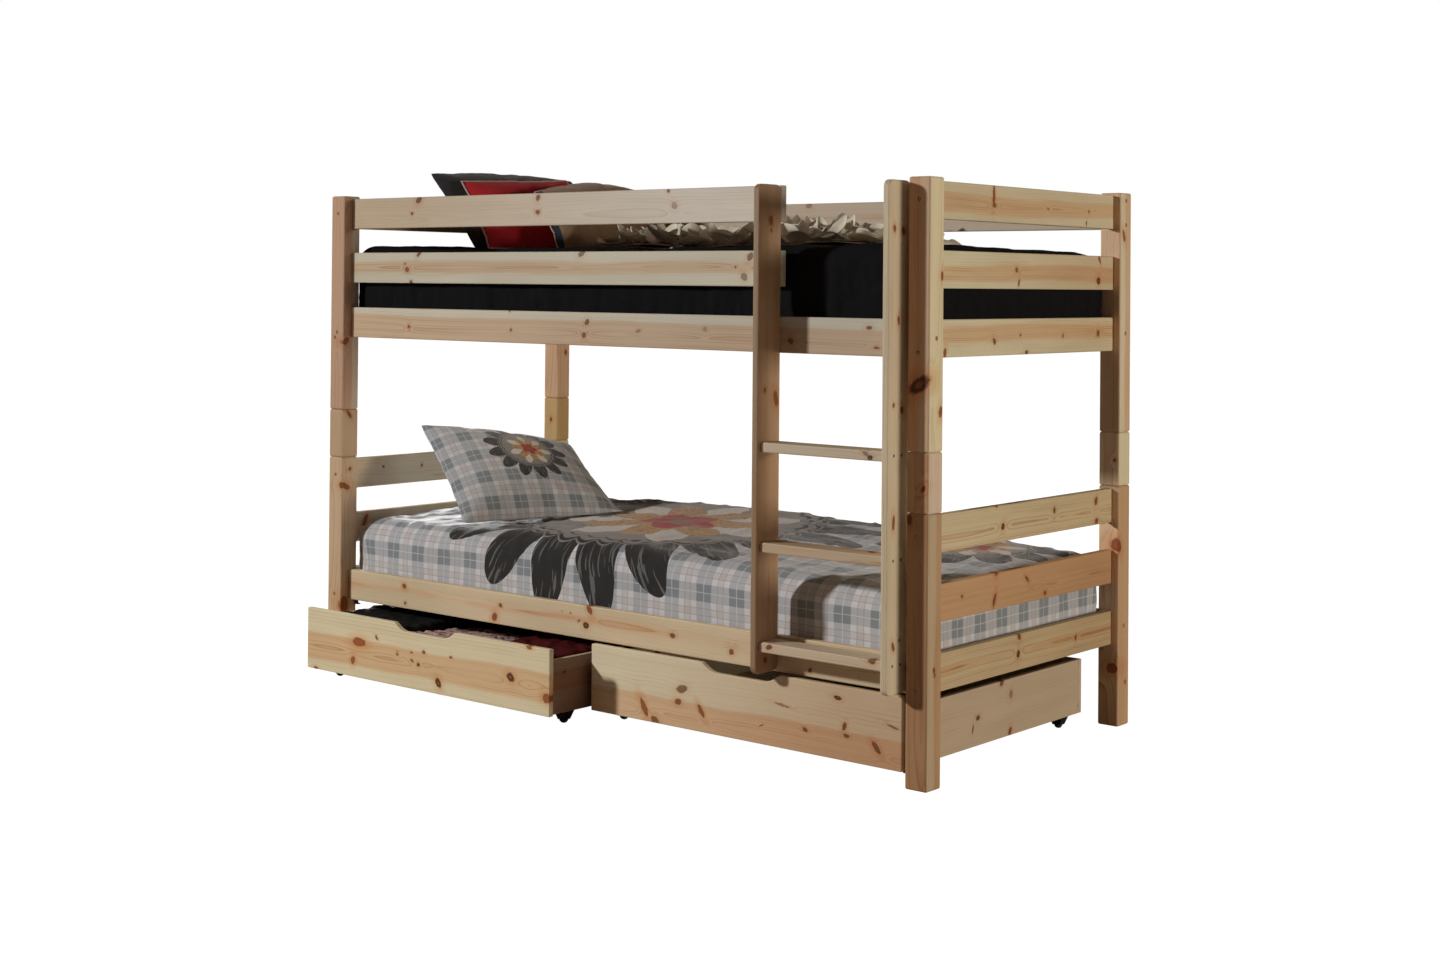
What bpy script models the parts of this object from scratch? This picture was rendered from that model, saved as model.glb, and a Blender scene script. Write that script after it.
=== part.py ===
"""Bunk bed in solid pine, two tiers on pinned spacer blocks, with a clip-on ladder
and two rolling under-bed drawers.

Metres, +Z up.  The origin is on the floor, under the centre of the whole object as it
stands, with the left drawer pulled part of the way out.  +X runs along the bed to the
end that carries the ladder, and -Y is the side that the drawers open towards.
"""

import math

import bmesh
import bpy
from mathutils import Matrix, Vector

# ---------------------------------------------------------------- driving dimensions
LENGTH = 2.090            # over the posts, along X
WIDTH = 1.020             # over the posts, along Y
GAP = 0.0003              # air between touching pieces

POST_X = 0.059            # post section along the bed
POST_Y = 0.063            # post section across the bed
POST_H = 0.642            # one tier's post
SPACER_H = 0.143          # block between the tiers
TIER = POST_H + SPACER_H  # height from one tier to the next
TIMBER_EDGE = 0.0050      # rounding of the post edges

PIN_R = 0.006             # locating pin through each spacer block
PIN_BORE_R = 0.0063
PIN_REACH = 0.030

RAIL_H = 0.090            # every rail is the same height
RAIL_EDGE = 0.0028
END_RAIL_T = 0.021
END_RAIL_SETBACK = 0.0201
END_RAIL_Z = (0.2179, 0.3812, 0.5447)     # undersides, within a tier

SIDE_RAIL_T = 0.022
SIDE_RAIL_SETBACK = 0.0307
LOWER_SIDE_RAIL_Z = 0.2150
UPPER_SIDE_RAIL_Z = TIER + 0.2179
GUARD_TOP_Z = TIER + 0.5437
GUARD_MID_Z = TIER + 0.3818

LEDGER_T = 0.022          # strip inside each side rail that the slats rest on
LEDGER_H = 0.026
LEDGER_UP = 0.004         # above the rail's underside
SLAT_COUNT = 13
SLAT_W = 0.070
SLAT_T = 0.018
SLAT_SIDE_PLAY = 0.004
TAPE_W = 0.026            # the two tapes that hold a roll of slats together
TAPE_T = 0.002

LADDER_LEFT_X = 1.6274    # outer face of the left stile
LADDER_RIGHT_X = 2.0009   # inner face of the right stile
STILE_T = 0.0178
STILE_FRONT = -0.0614     # ahead of the posts
STILE_Z0 = 0.2200
STILE_Z1 = 1.4190
STILE_CORNER = 0.017
RUNG_TOPS = (0.2990, 0.5420, 0.7860)
RUNG_T = 0.0245
RUNG_FRONT = -0.0500
RUNG_BACK = 0.0220

DRAWER_W = 0.963
DRAWER_DEPTH = 0.887
LEFT_DRAWER_X = 0.079
RIGHT_DRAWER_X = 1.060
LEFT_DRAWER_OUT = 0.145   # how far the left drawer stands out
FRONT_T = 0.016
FRONT_Z0 = 0.0370
FRONT_Z1 = 0.2135
BOX_T = 0.015
BACK_T = 0.016
BOX_INSET = 0.003
BOX_Z0 = 0.0400
BOX_Z1 = 0.1830
BOTTOM_T = 0.009
NOTCH_CENTRE = 0.4905     # from the drawer's left edge
NOTCH_TOP_W = 0.241
NOTCH_BOTTOM_W = 0.176
NOTCH_DEPTH = 0.0215
NOTCH_R = 0.016

WHEEL_R = 0.0155
WHEEL_W = 0.0135
AXLE_R = 0.0025
BORE_R = 0.0026
FORK_SIDE_PLAY = 0.0008
FORK_TOP = (0.044, 0.042) # caster housing under the drawer, then at its lower end
FORK_FOOT = (0.0215, 0.026)
FORK_Z0 = 0.0100
FORK_SLOT_Z1 = 0.0335
CASTER_FROM_FRONT = 0.107
CASTER_FROM_BACK = 0.048
CASTER_FROM_LEFT = 0.026
CASTER_FROM_RIGHT = 0.044

BOLT_BORE_R = 0.0058      # sunk bolt heads in the posts
BOLT_BORE_DEPTH = 0.0070

MATTRESS_X = (0.0440, 2.0460)
MATTRESS_Y = (0.0590, 0.9610)
LOWER_BEDDING_TOP = 0.470
UPPER_BEDDING_TOP = 1.262

X_SHIFT = -LENGTH / 2
Y_SHIFT = -(WIDTH - LEFT_DRAWER_OUT) / 2

# ---------------------------------------------------------------- scene and collections
for old in list(bpy.data.objects):
    bpy.data.objects.remove(old, do_unlink=True)

bed_parts = bpy.data.collections.new("bunk_bed_with_drawers")
bed_cutters = bpy.data.collections.new("cutters")
bpy.context.scene.collection.children.link(bed_parts)
bpy.context.scene.collection.children.link(bed_cutters)


def material(name, colour, roughness, metallic=0.0):
    m = bpy.data.materials.new(name)
    m.use_nodes = True
    shader = m.node_tree.nodes["Principled BSDF"]
    shader.inputs["Base Color"].default_value = (*colour, 1.0)
    shader.inputs["Roughness"].default_value = roughness
    shader.inputs["Metallic"].default_value = metallic
    m.diffuse_color = (*colour, 1.0)
    return m


PINE = material("pine", (0.62, 0.44, 0.26), 0.50)
PINE_BOX = material("pine_drawer_box", (0.56, 0.39, 0.24), 0.55)
SLAT_PINE = material("slat_pine", (0.60, 0.46, 0.30), 0.65)
BLACK_PLASTIC = material("black_plastic", (0.02, 0.02, 0.022), 0.42)
CHECKED_COTTON = material("checked_cotton", (0.42, 0.42, 0.42), 0.90)
BLACK_COTTON = material("black_cotton", (0.02, 0.02, 0.025), 0.90)
CUSHION_COTTON = material("cushion_cotton", (0.35, 0.05, 0.06), 0.90)


# ---------------------------------------------------------------- modelling helpers
def move_to(obj, collection):
    for c in list(obj.users_collection):
        c.objects.unlink(obj)
    collection.objects.link(obj)


def as_cutter(obj):
    move_to(obj, bed_cutters)
    obj.hide_render = True
    obj.display_type = "WIRE"
    return obj


def finish(obj, name, mat):
    obj.name = name
    obj.data.name = name
    obj.data.materials.clear()
    obj.data.materials.append(mat)
    move_to(obj, bed_parts)
    return obj


def cube(lo, hi):
    """A box between two corners given in bed coordinates, with its scale applied."""
    lo, hi = Vector(lo), Vector(hi)
    centre, size = (lo + hi) / 2, hi - lo
    bpy.ops.mesh.primitive_cube_add(
        size=1.0, location=(centre.x + X_SHIFT, centre.y + Y_SHIFT, centre.z)
    )
    obj = bpy.context.active_object
    obj.data.transform(Matrix.Diagonal((size.x, size.y, size.z, 1.0)))
    return obj


def rounded(obj, width, segments=2, angle=30.0):
    b = obj.modifiers.new("edges", "BEVEL")
    b.width = width
    b.segments = segments
    b.limit_method = "ANGLE"
    b.angle_limit = math.radians(angle)
    b.use_clamp_overlap = True
    b.harden_normals = False
    return obj


def boolean(obj, other, operation, name):
    m = obj.modifiers.new(name, "BOOLEAN")
    m.object = other
    m.operation = operation
    m.solver = "EXACT"
    return obj


def smooth(obj, angle=35.0):
    obj.data.shade_smooth()
    obj.data.set_sharp_from_angle(angle=math.radians(angle))
    return obj


def board(name, lo, hi, mat=PINE, edge=RAIL_EDGE, segments=2):
    return finish(rounded(cube(lo, hi), edge, segments), name, mat)


def cylinder(centre, axis, radius, length, sides):
    """A round bar centred at a point in bed coordinates, along axis 0, 1 or 2."""
    bpy.ops.mesh.primitive_cylinder_add(
        vertices=sides,
        radius=radius,
        depth=length,
        end_fill_type="NGON",
        location=(centre[0] + X_SHIFT, centre[1] + Y_SHIFT, centre[2]),
    )
    obj = bpy.context.active_object
    turn = {
        0: Matrix.Rotation(math.pi / 2, 4, "Y"),
        1: Matrix.Rotation(math.pi / 2, 4, "X"),
        2: Matrix.Identity(4),
    }[axis]
    obj.data.transform(turn)
    return obj


def sink(obj, centre, axis, direction, radius, depth, sides=14):
    """A flat-bottomed hole from a face at `centre`; `direction` is the way out."""
    c = Vector(centre)
    c[axis] -= direction * (depth / 2 - 0.002)
    tool = as_cutter(cylinder(c, axis, radius, depth + 0.004, sides))
    tool.name = obj.name + "_hole_tool"
    return boolean(obj, tool, "DIFFERENCE", "hole")


# ---------------------------------------------------------------- posts and spacer blocks
CORNERS = {
    "front_left": (0.0, 0.0),
    "front_right": (LENGTH - POST_X, 0.0),
    "rear_left": (0.0, WIDTH - POST_Y),
    "rear_right": (LENGTH - POST_X, WIDTH - POST_Y),
}
END_RAIL_MID = END_RAIL_SETBACK + END_RAIL_T / 2


def bolt_holes(obj, corner, base, upper):
    """The sunk bolts: into the end rails from the front or back face of a post, and
    into the side and guard rails from its outer end face."""
    x0, y0 = CORNERS[corner]
    left, front = corner.endswith("left"), corner.startswith("front")
    face_y, out_y = (0.0, -1) if front else (WIDTH, 1)
    face_x, out_x = (0.0, -1) if left else (LENGTH, 1)
    bolt_x = END_RAIL_MID if left else LENGTH - END_RAIL_MID
    bolt_y = y0 + POST_Y / 2
    for z in (base + END_RAIL_Z[2] + RAIL_H / 2, base + END_RAIL_Z[0] + 0.014):
        sink(obj, (bolt_x, face_y, z), 1, out_y, BOLT_BORE_R, BOLT_BORE_DEPTH)
    side_z = UPPER_SIDE_RAIL_Z if upper else LOWER_SIDE_RAIL_Z
    heights = [side_z + 0.047 if upper else side_z + 0.052]
    if upper and (left or not front):
        heights += [GUARD_TOP_Z + 0.0125, GUARD_TOP_Z + RAIL_H - 0.0125]
    if upper and left and front:
        heights += [GUARD_MID_Z + 0.0125, GUARD_MID_Z + RAIL_H - 0.0125]
    for z in heights:
        sink(obj, (face_x, bolt_y, z), 0, out_x, BOLT_BORE_R, BOLT_BORE_DEPTH)


for corner, (px, py) in CORNERS.items():
    mid = (px + POST_X / 2, py + POST_Y / 2)
    lower = board(
        "lower_post_" + corner, (px, py, 0.0), (px + POST_X, py + POST_Y, POST_H - GAP / 2),
        edge=TIMBER_EDGE, segments=3,
    )
    sink(lower, (mid[0], mid[1], POST_H), 2, 1, PIN_BORE_R, PIN_REACH + 0.002, 16)
    bolt_holes(lower, corner, 0.0, False)

    upper = board(
        "upper_post_" + corner,
        (px, py, TIER + GAP / 2), (px + POST_X, py + POST_Y, TIER + POST_H),
        edge=TIMBER_EDGE, segments=3,
    )
    sink(upper, (mid[0], mid[1], TIER), 2, -1, PIN_BORE_R, PIN_REACH + 0.002, 16)
    bolt_holes(upper, corner, TIER, True)

    block = board(
        "spacer_block_" + corner,
        (px, py, POST_H + GAP / 2), (px + POST_X, py + POST_Y, TIER - GAP / 2),
        edge=TIMBER_EDGE, segments=3,
    )
    pin = as_cutter(
        cylinder((mid[0], mid[1], POST_H + SPACER_H / 2), 2, PIN_R,
                 SPACER_H + 2 * PIN_REACH, 16)
    )
    pin.name = "pin_" + corner
    boolean(block, pin, "UNION", "pin")

# ---------------------------------------------------------------- end rails
for base, tier in ((0.0, "lower"), (TIER, "upper")):
    for side in ("left", "right"):
        x0 = END_RAIL_SETBACK if side == "left" else LENGTH - END_RAIL_SETBACK - END_RAIL_T
        for z, level in zip(END_RAIL_Z, ("bottom", "middle", "top")):
            board(
                f"{tier}_{side}_end_rail_{level}",
                (x0, POST_Y + GAP, base + z),
                (x0 + END_RAIL_T, WIDTH - POST_Y - GAP, base + z + RAIL_H),
            )

# ---------------------------------------------------------------- side rails with ledgers
RAIL_X = (POST_X + GAP, LENGTH - POST_X - GAP)


def side_rail(name, z, front):
    y0 = SIDE_RAIL_SETBACK if front else WIDTH - SIDE_RAIL_SETBACK - SIDE_RAIL_T
    rail = board(name, (RAIL_X[0], y0, z), (RAIL_X[1], y0 + SIDE_RAIL_T, z + RAIL_H))
    ly0 = y0 + SIDE_RAIL_T - 0.002 if front else y0 + 0.002 - LEDGER_T
    ledger = as_cutter(
        cube(
            (RAIL_X[0] + 0.012, ly0, z + LEDGER_UP),
            (RAIL_X[1] - 0.012, ly0 + LEDGER_T, z + LEDGER_UP + LEDGER_H),
        )
    )
    ledger.name = name + "_ledger"
    boolean(rail, ledger, "UNION", "ledger")
    return rail


side_rail("lower_side_rail_front", LOWER_SIDE_RAIL_Z, True)
side_rail("lower_side_rail_rear", LOWER_SIDE_RAIL_Z, False)
side_rail("upper_side_rail_front", UPPER_SIDE_RAIL_Z, True)
side_rail("upper_side_rail_rear", UPPER_SIDE_RAIL_Z, False)

GUARD_END_X = LADDER_LEFT_X + STILE_T
for name, z in (("top", GUARD_TOP_Z), ("middle", GUARD_MID_Z)):
    board(
        "guard_rail_front_" + name,
        (RAIL_X[0], SIDE_RAIL_SETBACK, z),
        (GUARD_END_X, SIDE_RAIL_SETBACK + SIDE_RAIL_T, z + RAIL_H),
    )
board(
    "guard_rail_rear_top",
    (RAIL_X[0], WIDTH - SIDE_RAIL_SETBACK - SIDE_RAIL_T, GUARD_TOP_Z),
    (RAIL_X[1], WIDTH - SIDE_RAIL_SETBACK, GUARD_TOP_Z + RAIL_H),
)


# ---------------------------------------------------------------- slatted bases
def slat_base(name, rail_z):
    """A roll of slats on two tapes, lying on the ledgers: one connected body."""
    z0 = rail_z + LEDGER_UP + LEDGER_H + GAP
    y0 = SIDE_RAIL_SETBACK + SIDE_RAIL_T + SLAT_SIDE_PLAY
    first = END_RAIL_SETBACK + END_RAIL_T + 0.030
    last = LENGTH - first - SLAT_W
    pitch = (last - first) / (SLAT_COUNT - 1)
    slat = cube((first, y0, z0), (first + SLAT_W, WIDTH - y0, z0 + SLAT_T))
    rounded(slat, 0.003, 1)
    row = slat.modifiers.new("row", "ARRAY")
    row.count = SLAT_COUNT
    row.use_relative_offset = False
    row.use_constant_offset = True
    row.constant_offset_displace = (pitch, 0.0, 0.0)
    row.use_merge_vertices = False
    finish(slat, name, SLAT_PINE)
    for k, y in enumerate((0.20, WIDTH - 0.20)):
        tape = as_cutter(
            cube(
                (first + 0.004, y - TAPE_W / 2, z0 + SLAT_T - 0.0008),
                (LENGTH - first - 0.004, y + TAPE_W / 2, z0 + SLAT_T - 0.0008 + TAPE_T),
            )
        )
        tape.name = f"{name}_tape_{k}"
        boolean(slat, tape, "UNION", "tape")
    return z0 + SLAT_T - 0.0008 + TAPE_T


lower_slats_top = slat_base("lower_slat_base", LOWER_SIDE_RAIL_Z)
upper_slats_top = slat_base("upper_slat_base", UPPER_SIDE_RAIL_Z)


# ---------------------------------------------------------------- ladder
def stile(name, x0):
    """A flat upright whose four corners are rounded, standing ahead of the rails."""
    obj = cube(
        (x0, STILE_FRONT, STILE_Z0),
        (x0 + STILE_T, SIDE_RAIL_SETBACK - GAP, STILE_Z1),
    )
    bm = bmesh.new()
    bm.from_mesh(obj.data)
    across = [
        e for e in bm.edges
        if abs(e.verts[0].co.x - e.verts[1].co.x) > STILE_T / 2
    ]
    bmesh.ops.bevel(
        bm, geom=across, offset=STILE_CORNER, offset_type="OFFSET", segments=5,
        profile=0.5, affect="EDGES",
    )
    bm.to_mesh(obj.data)
    bm.free()
    rounded(obj, 0.0028, 2, angle=45.0)
    return finish(obj, name, PINE)


stile("ladder_stile_left", LADDER_LEFT_X)
stile("ladder_stile_right", LADDER_RIGHT_X)
for z1, level in zip(RUNG_TOPS, ("bottom", "middle", "top")):
    board(
        "ladder_rung_" + level,
        (LADDER_LEFT_X + STILE_T + GAP, RUNG_FRONT, z1 - RUNG_T),
        (LADDER_RIGHT_X - GAP, RUNG_BACK, z1),
        PINE,
    )


# ---------------------------------------------------------------- drawers
def caster_fork(cx, cy, neck):
    """The tapered housing and fixed axle of one caster, with the neck that joins it to
    the bottom panel between the two X positions in `neck`, as one solid."""
    z1 = BOX_Z0 - GAP
    housing = cube(
        (cx - FORK_TOP[0] / 2, cy - FORK_TOP[1] / 2, FORK_Z0),
        (cx + FORK_TOP[0] / 2, cy + FORK_TOP[1] / 2, z1),
    )
    for v in housing.data.vertices:
        if v.co.z < 0:
            v.co.x *= FORK_FOOT[0] / FORK_TOP[0]
            v.co.y *= FORK_FOOT[1] / FORK_TOP[1]
    inner = WHEEL_W / 2 + FORK_SIDE_PLAY
    slot = as_cutter(cube((cx - inner, cy - 0.05, -0.01), (cx + inner, cy + 0.05, FORK_SLOT_Z1)))
    slot.name = "fork_slot"
    boolean(housing, slot, "DIFFERENCE", "slot")
    axle = as_cutter(cylinder((cx, cy, WHEEL_R), 0, AXLE_R, 2 * inner + 0.004, 24))
    axle.name = "fork_axle"
    boolean(housing, axle, "UNION", "axle")
    joint = as_cutter(
        cube((neck[0], cy - 0.012, z1 - 0.002), (neck[1], cy + 0.012, BOX_Z0 + 0.003))
    )
    joint.name = "fork_neck"
    boolean(housing, joint, "UNION", "neck")
    return as_cutter(housing)


def wheel(name, cx, cy):
    """A turned wheel with a crowned tread, free on its axle; its origin is on the axle."""
    half = WHEEL_W / 2
    crown = 0.0035
    profile = [
        (WHEEL_R - crown, half), (WHEEL_R - crown * 0.30, half - crown * 0.42),
        (WHEEL_R, half - crown * 1.25), (WHEEL_R, -half + crown * 1.25),
        (WHEEL_R - crown * 0.30, -half + crown * 0.42), (WHEEL_R - crown, -half),
        (BORE_R, -half), (BORE_R, half),
    ]
    mesh = bpy.data.meshes.new(name)
    n = len(profile)
    mesh.from_pydata([(r, 0.0, z) for r, z in profile], [(i, (i + 1) % n) for i in range(n)], [])
    obj = bpy.data.objects.new(name, mesh)
    bed_parts.objects.link(obj)
    turn = obj.modifiers.new("turned", "SCREW")
    turn.angle = 2 * math.pi
    turn.steps = 24
    turn.render_steps = 24
    turn.use_merge_vertices = True
    turn.merge_threshold = 0.00001
    turn.use_smooth_shade = True
    obj.rotation_euler = (0.0, math.pi / 2, 0.0)
    obj.location = (cx + X_SHIFT, cy + Y_SHIFT, WHEEL_R)
    return finish(obj, name, BLACK_PLASTIC)


def notch_tool(x0, y0):
    """The sloped finger cut-out in the top edge of a drawer front."""
    up = 0.010
    height = NOTCH_DEPTH + up
    slope = (NOTCH_TOP_W - NOTCH_BOTTOM_W) / 2 / NOTCH_DEPTH
    tool = cube(
        (x0 + NOTCH_CENTRE - NOTCH_BOTTOM_W / 2, y0 - 0.010, FRONT_Z1 - NOTCH_DEPTH),
        (x0 + NOTCH_CENTRE + NOTCH_BOTTOM_W / 2, y0 + FRONT_T + 0.010, FRONT_Z1 + up),
    )
    for v in tool.data.vertices:
        if v.co.z > 0:
            v.co.x += math.copysign(slope * height, v.co.x)
    bm = bmesh.new()
    bm.from_mesh(tool.data)
    low = [
        e for e in bm.edges
        if abs(e.verts[0].co.y - e.verts[1].co.y) > FRONT_T and e.verts[0].co.z < 0
    ]
    bmesh.ops.bevel(
        bm, geom=low, offset=NOTCH_R, offset_type="OFFSET", segments=4, profile=0.5,
        affect="EDGES",
    )
    bm.to_mesh(tool.data)
    bm.free()
    return as_cutter(tool)


def drawer(side, x0, y0):
    """One rolling drawer, its left front corner at (x0, y0) in bed coordinates."""
    x1, y1 = x0 + DRAWER_W, y0 + DRAWER_DEPTH
    front = cube((x0, y0, FRONT_Z0), (x1, y0 + FRONT_T, FRONT_Z1))
    boolean(front, notch_tool(x0, y0), "DIFFERENCE", "notch")
    rounded(front, 0.0022, 2)
    finish(front, f"{side}_drawer_front", PINE)

    bx0, bx1 = x0 + BOX_INSET, x1 - BOX_INSET
    by0, by1 = y0 + FRONT_T + GAP, y1 - BACK_T - GAP
    board(f"{side}_drawer_side_left", (bx0, by0, BOX_Z0), (bx0 + BOX_T, by1, BOX_Z1), PINE_BOX, 0.002)
    board(f"{side}_drawer_side_right", (bx1 - BOX_T, by0, BOX_Z0), (bx1, by1, BOX_Z1), PINE_BOX, 0.002)
    board(f"{side}_drawer_back", (bx0, y1 - BACK_T, BOX_Z0), (bx1, y1, BOX_Z1), PINE_BOX, 0.002)

    bottom = cube(
        (bx0 + BOX_T + GAP, by0, BOX_Z0),
        (bx1 - BOX_T - GAP, by1, BOX_Z0 + BOTTOM_T),
    )
    finish(bottom, f"{side}_drawer_bottom", PINE_BOX)
    for fy, cy in (("front", y0 + CASTER_FROM_FRONT), ("rear", y1 - CASTER_FROM_BACK)):
        for fx, cx in (("left", x0 + CASTER_FROM_LEFT), ("right", x1 - CASTER_FROM_RIGHT)):
            neck = (max(cx - 0.012, bx0 + BOX_T + GAP + 0.002), cx + 0.012)
            fork = caster_fork(cx, cy, neck)
            fork.name = f"{side}_fork_{fy}_{fx}"
            boolean(bottom, fork, "UNION", f"fork_{fy}_{fx}")
            wheel(f"{side}_drawer_wheel_{fy}_{fx}", cx, cy)


drawer("left", LEFT_DRAWER_X, -LEFT_DRAWER_OUT)
drawer("right", RIGHT_DRAWER_X, 0.0)


# ---------------------------------------------------------------- mattresses and pillows
def soft_block(name, lo, hi, radius, mat, segments=3):
    return finish(smooth(rounded(cube(lo, hi), radius, segments), 60.0), name, mat)


soft_block(
    "lower_mattress",
    (MATTRESS_X[0], MATTRESS_Y[0], lower_slats_top + GAP),
    (MATTRESS_X[1], MATTRESS_Y[1], LOWER_BEDDING_TOP),
    0.045, CHECKED_COTTON,
)
soft_block(
    "upper_mattress",
    (MATTRESS_X[0], MATTRESS_Y[0], upper_slats_top + GAP),
    (MATTRESS_X[1], MATTRESS_Y[1], UPPER_BEDDING_TOP),
    0.045, BLACK_COTTON,
)


def pillow(front_foot, size, lean, turn, roll=0.0):
    """A soft block leaning back towards the left end of the bed.  `front_foot` is the
    middle of its lower front edge, `size` is across, up the slope and through, `lean`
    is the slope of its face in degrees from lying flat, `turn` turns it about the
    vertical and `roll` turns it within its own face."""
    across, tall, thick = size
    le, tu = math.radians(lean), math.radians(turn)
    up = Vector((-math.cos(le) * math.cos(tu), -math.cos(le) * math.sin(tu), math.sin(le)))
    side = Vector((-math.sin(tu), math.cos(tu), 0.0))
    out = up.cross(side)
    if out.z < 0:
        out = -out
    centre = Vector(front_foot) + up * tall / 2 - out * thick / 2
    axes = Matrix((side, up, side.cross(up))).transposed()
    bpy.ops.mesh.primitive_cube_add(
        size=1.0, location=(centre.x + X_SHIFT, centre.y + Y_SHIFT, centre.z)
    )
    obj = bpy.context.active_object
    obj.data.transform(Matrix.Diagonal((across, tall, thick, 1.0)))
    obj.data.transform((axes @ Matrix.Rotation(math.radians(roll), 3, "Z")).to_4x4())
    return rounded(obj, thick * 0.40, 3)


def rests_on(obj, z):
    """Flatten the underside of a leaning pillow where it lies on the bedding."""
    below = as_cutter(cube((-0.5, -0.5, z - 0.6), (1.6, 1.6, z)))
    below.name = obj.name + "_rest"
    return boolean(obj, below, "DIFFERENCE", "rest")


lower_pillow = pillow((0.590, 0.340, 0.484), (0.58, 0.43, 0.150), 31.0, -14.0, -4.0)
lower_pillow.name = "lower_pillow"
rests_on(lower_pillow, LOWER_BEDDING_TOP + GAP)
finish(smooth(lower_pillow, 60.0), "lower_pillow", CHECKED_COTTON)

back_pillow = pillow((0.320, 0.605, 1.250), (0.60, 0.355, 0.093), 55.0, -2.0)
middle_pillow = pillow((0.428, 0.560, 1.250), (0.47, 0.325, 0.108), 52.0, -9.0)
front_pillow = pillow((0.600, 0.690, 1.240), (0.44, 0.33, 0.120), 50.0, -12.0, 10.0)
back_pillow.name = "upper_pillows"
for k, other in enumerate((middle_pillow, front_pillow)):
    other.name = f"upper_pillow_{k}"
    boolean(back_pillow, as_cutter(other), "UNION", f"pillow_{k}")
rests_on(back_pillow, UPPER_BEDDING_TOP + GAP)
finish(smooth(back_pillow, 60.0), "upper_pillows", CUSHION_COTTON)
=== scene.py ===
"""Looks of the pine bunk bed: timber, bedding, casters, hardware, camera and light."""
import math
import random

import bmesh
import bpy
import numpy as np
from mathutils import Euler, Matrix, Vector, noise


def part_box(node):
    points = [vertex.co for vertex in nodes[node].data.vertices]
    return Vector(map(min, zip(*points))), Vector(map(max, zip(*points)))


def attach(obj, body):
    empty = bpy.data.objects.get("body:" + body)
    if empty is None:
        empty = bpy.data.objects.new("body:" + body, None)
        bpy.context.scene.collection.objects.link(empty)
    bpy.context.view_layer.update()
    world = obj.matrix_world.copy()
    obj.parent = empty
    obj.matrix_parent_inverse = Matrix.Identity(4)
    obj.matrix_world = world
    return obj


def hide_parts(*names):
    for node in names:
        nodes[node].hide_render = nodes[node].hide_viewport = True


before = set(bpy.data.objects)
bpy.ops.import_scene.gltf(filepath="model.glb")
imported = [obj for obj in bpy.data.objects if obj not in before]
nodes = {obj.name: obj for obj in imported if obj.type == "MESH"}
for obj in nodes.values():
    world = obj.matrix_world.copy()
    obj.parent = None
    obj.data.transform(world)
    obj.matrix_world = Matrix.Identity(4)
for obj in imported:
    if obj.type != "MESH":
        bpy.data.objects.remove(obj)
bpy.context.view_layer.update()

# Bed coordinates run from the outer front left corner of the front left post; the frame's
# origin is under the middle of the whole bed.
SX, SY = -1.045, -0.4375


def P(x, y, z):
    """A point given in bed coordinates, in the frame's coordinates."""
    return Vector((x + SX, y + SY, z))


# ---------------------------------------------------------------- node tree helpers
class Tree:
    """Small helper that adds nodes and links to a node tree."""

    def __init__(self, tree):
        self.t = tree

    def node(self, kind, **props):
        n = self.t.nodes.new(kind)
        for k, v in props.items():
            setattr(n, k, v)
        return n

    def link(self, a, b):
        self.t.links.new(a, b)

    def put(self, socket, value):
        if isinstance(value, bpy.types.NodeSocket):
            self.t.links.new(value, socket)
        else:
            socket.default_value = value

    def math(self, op, a, b=None, c=None, clamp=False):
        n = self.node("ShaderNodeMath", operation=op, use_clamp=clamp)
        self.put(n.inputs[0], a)
        if b is not None:
            self.put(n.inputs[1], b)
        if c is not None:
            self.put(n.inputs[2], c)
        return n.outputs[0]

    def vmath(self, op, a, b=None):
        n = self.node("ShaderNodeVectorMath", operation=op)
        self.put(n.inputs[0], a)
        if b is not None:
            self.put(n.inputs[1], b)
        return n.outputs["Value"] if op in ("LENGTH", "DOT_PRODUCT", "DISTANCE") else n.outputs[0]

    def mul_vec(self, a, v):
        return self.vmath("MULTIPLY", a, v)

    def noise(self, vec, scale, detail=2.0, rough=0.5, dims="3D", out="Fac"):
        n = self.node("ShaderNodeTexNoise", noise_dimensions=dims)
        self.put(n.inputs["Vector"], vec)
        n.inputs["Scale"].default_value = scale
        n.inputs["Detail"].default_value = detail
        n.inputs["Roughness"].default_value = rough
        return n.outputs[out]

    def ramp(self, fac, stops, mode="LINEAR"):
        n = self.node("ShaderNodeValToRGB")
        n.color_ramp.interpolation = mode
        el = n.color_ramp.elements
        while len(el) > 1:
            el.remove(el[-1])
        el[0].position = stops[0][0]
        el[0].color = (*stops[0][1], 1.0) if not isinstance(stops[0][1], float) else (stops[0][1],) * 3 + (1.0,)
        for pos, col in stops[1:]:
            e = el.new(pos)
            e.color = (*col, 1.0) if not isinstance(col, float) else (col, col, col, 1.0)
        self.put(n.inputs[0], fac)
        return n.outputs["Color"]

    def smooth(self, x, lo, hi, out0=0.0, out1=1.0):
        n = self.node("ShaderNodeMapRange", interpolation_type="SMOOTHSTEP")
        self.put(n.inputs["Value"], x)
        n.inputs["From Min"].default_value = lo
        n.inputs["From Max"].default_value = hi
        n.inputs["To Min"].default_value = out0
        n.inputs["To Max"].default_value = out1
        return n.outputs["Result"]

    def mix(self, fac, a, b, blend="MIX"):
        n = self.node("ShaderNodeMix", data_type="RGBA", blend_type=blend)
        self.put(n.inputs["Factor"], fac)
        self.put(n.inputs["A"], (*a, 1.0) if isinstance(a, tuple) and len(a) == 3 else a)
        self.put(n.inputs["B"], (*b, 1.0) if isinstance(b, tuple) and len(b) == 3 else b)
        return n.outputs["Result"]


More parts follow.
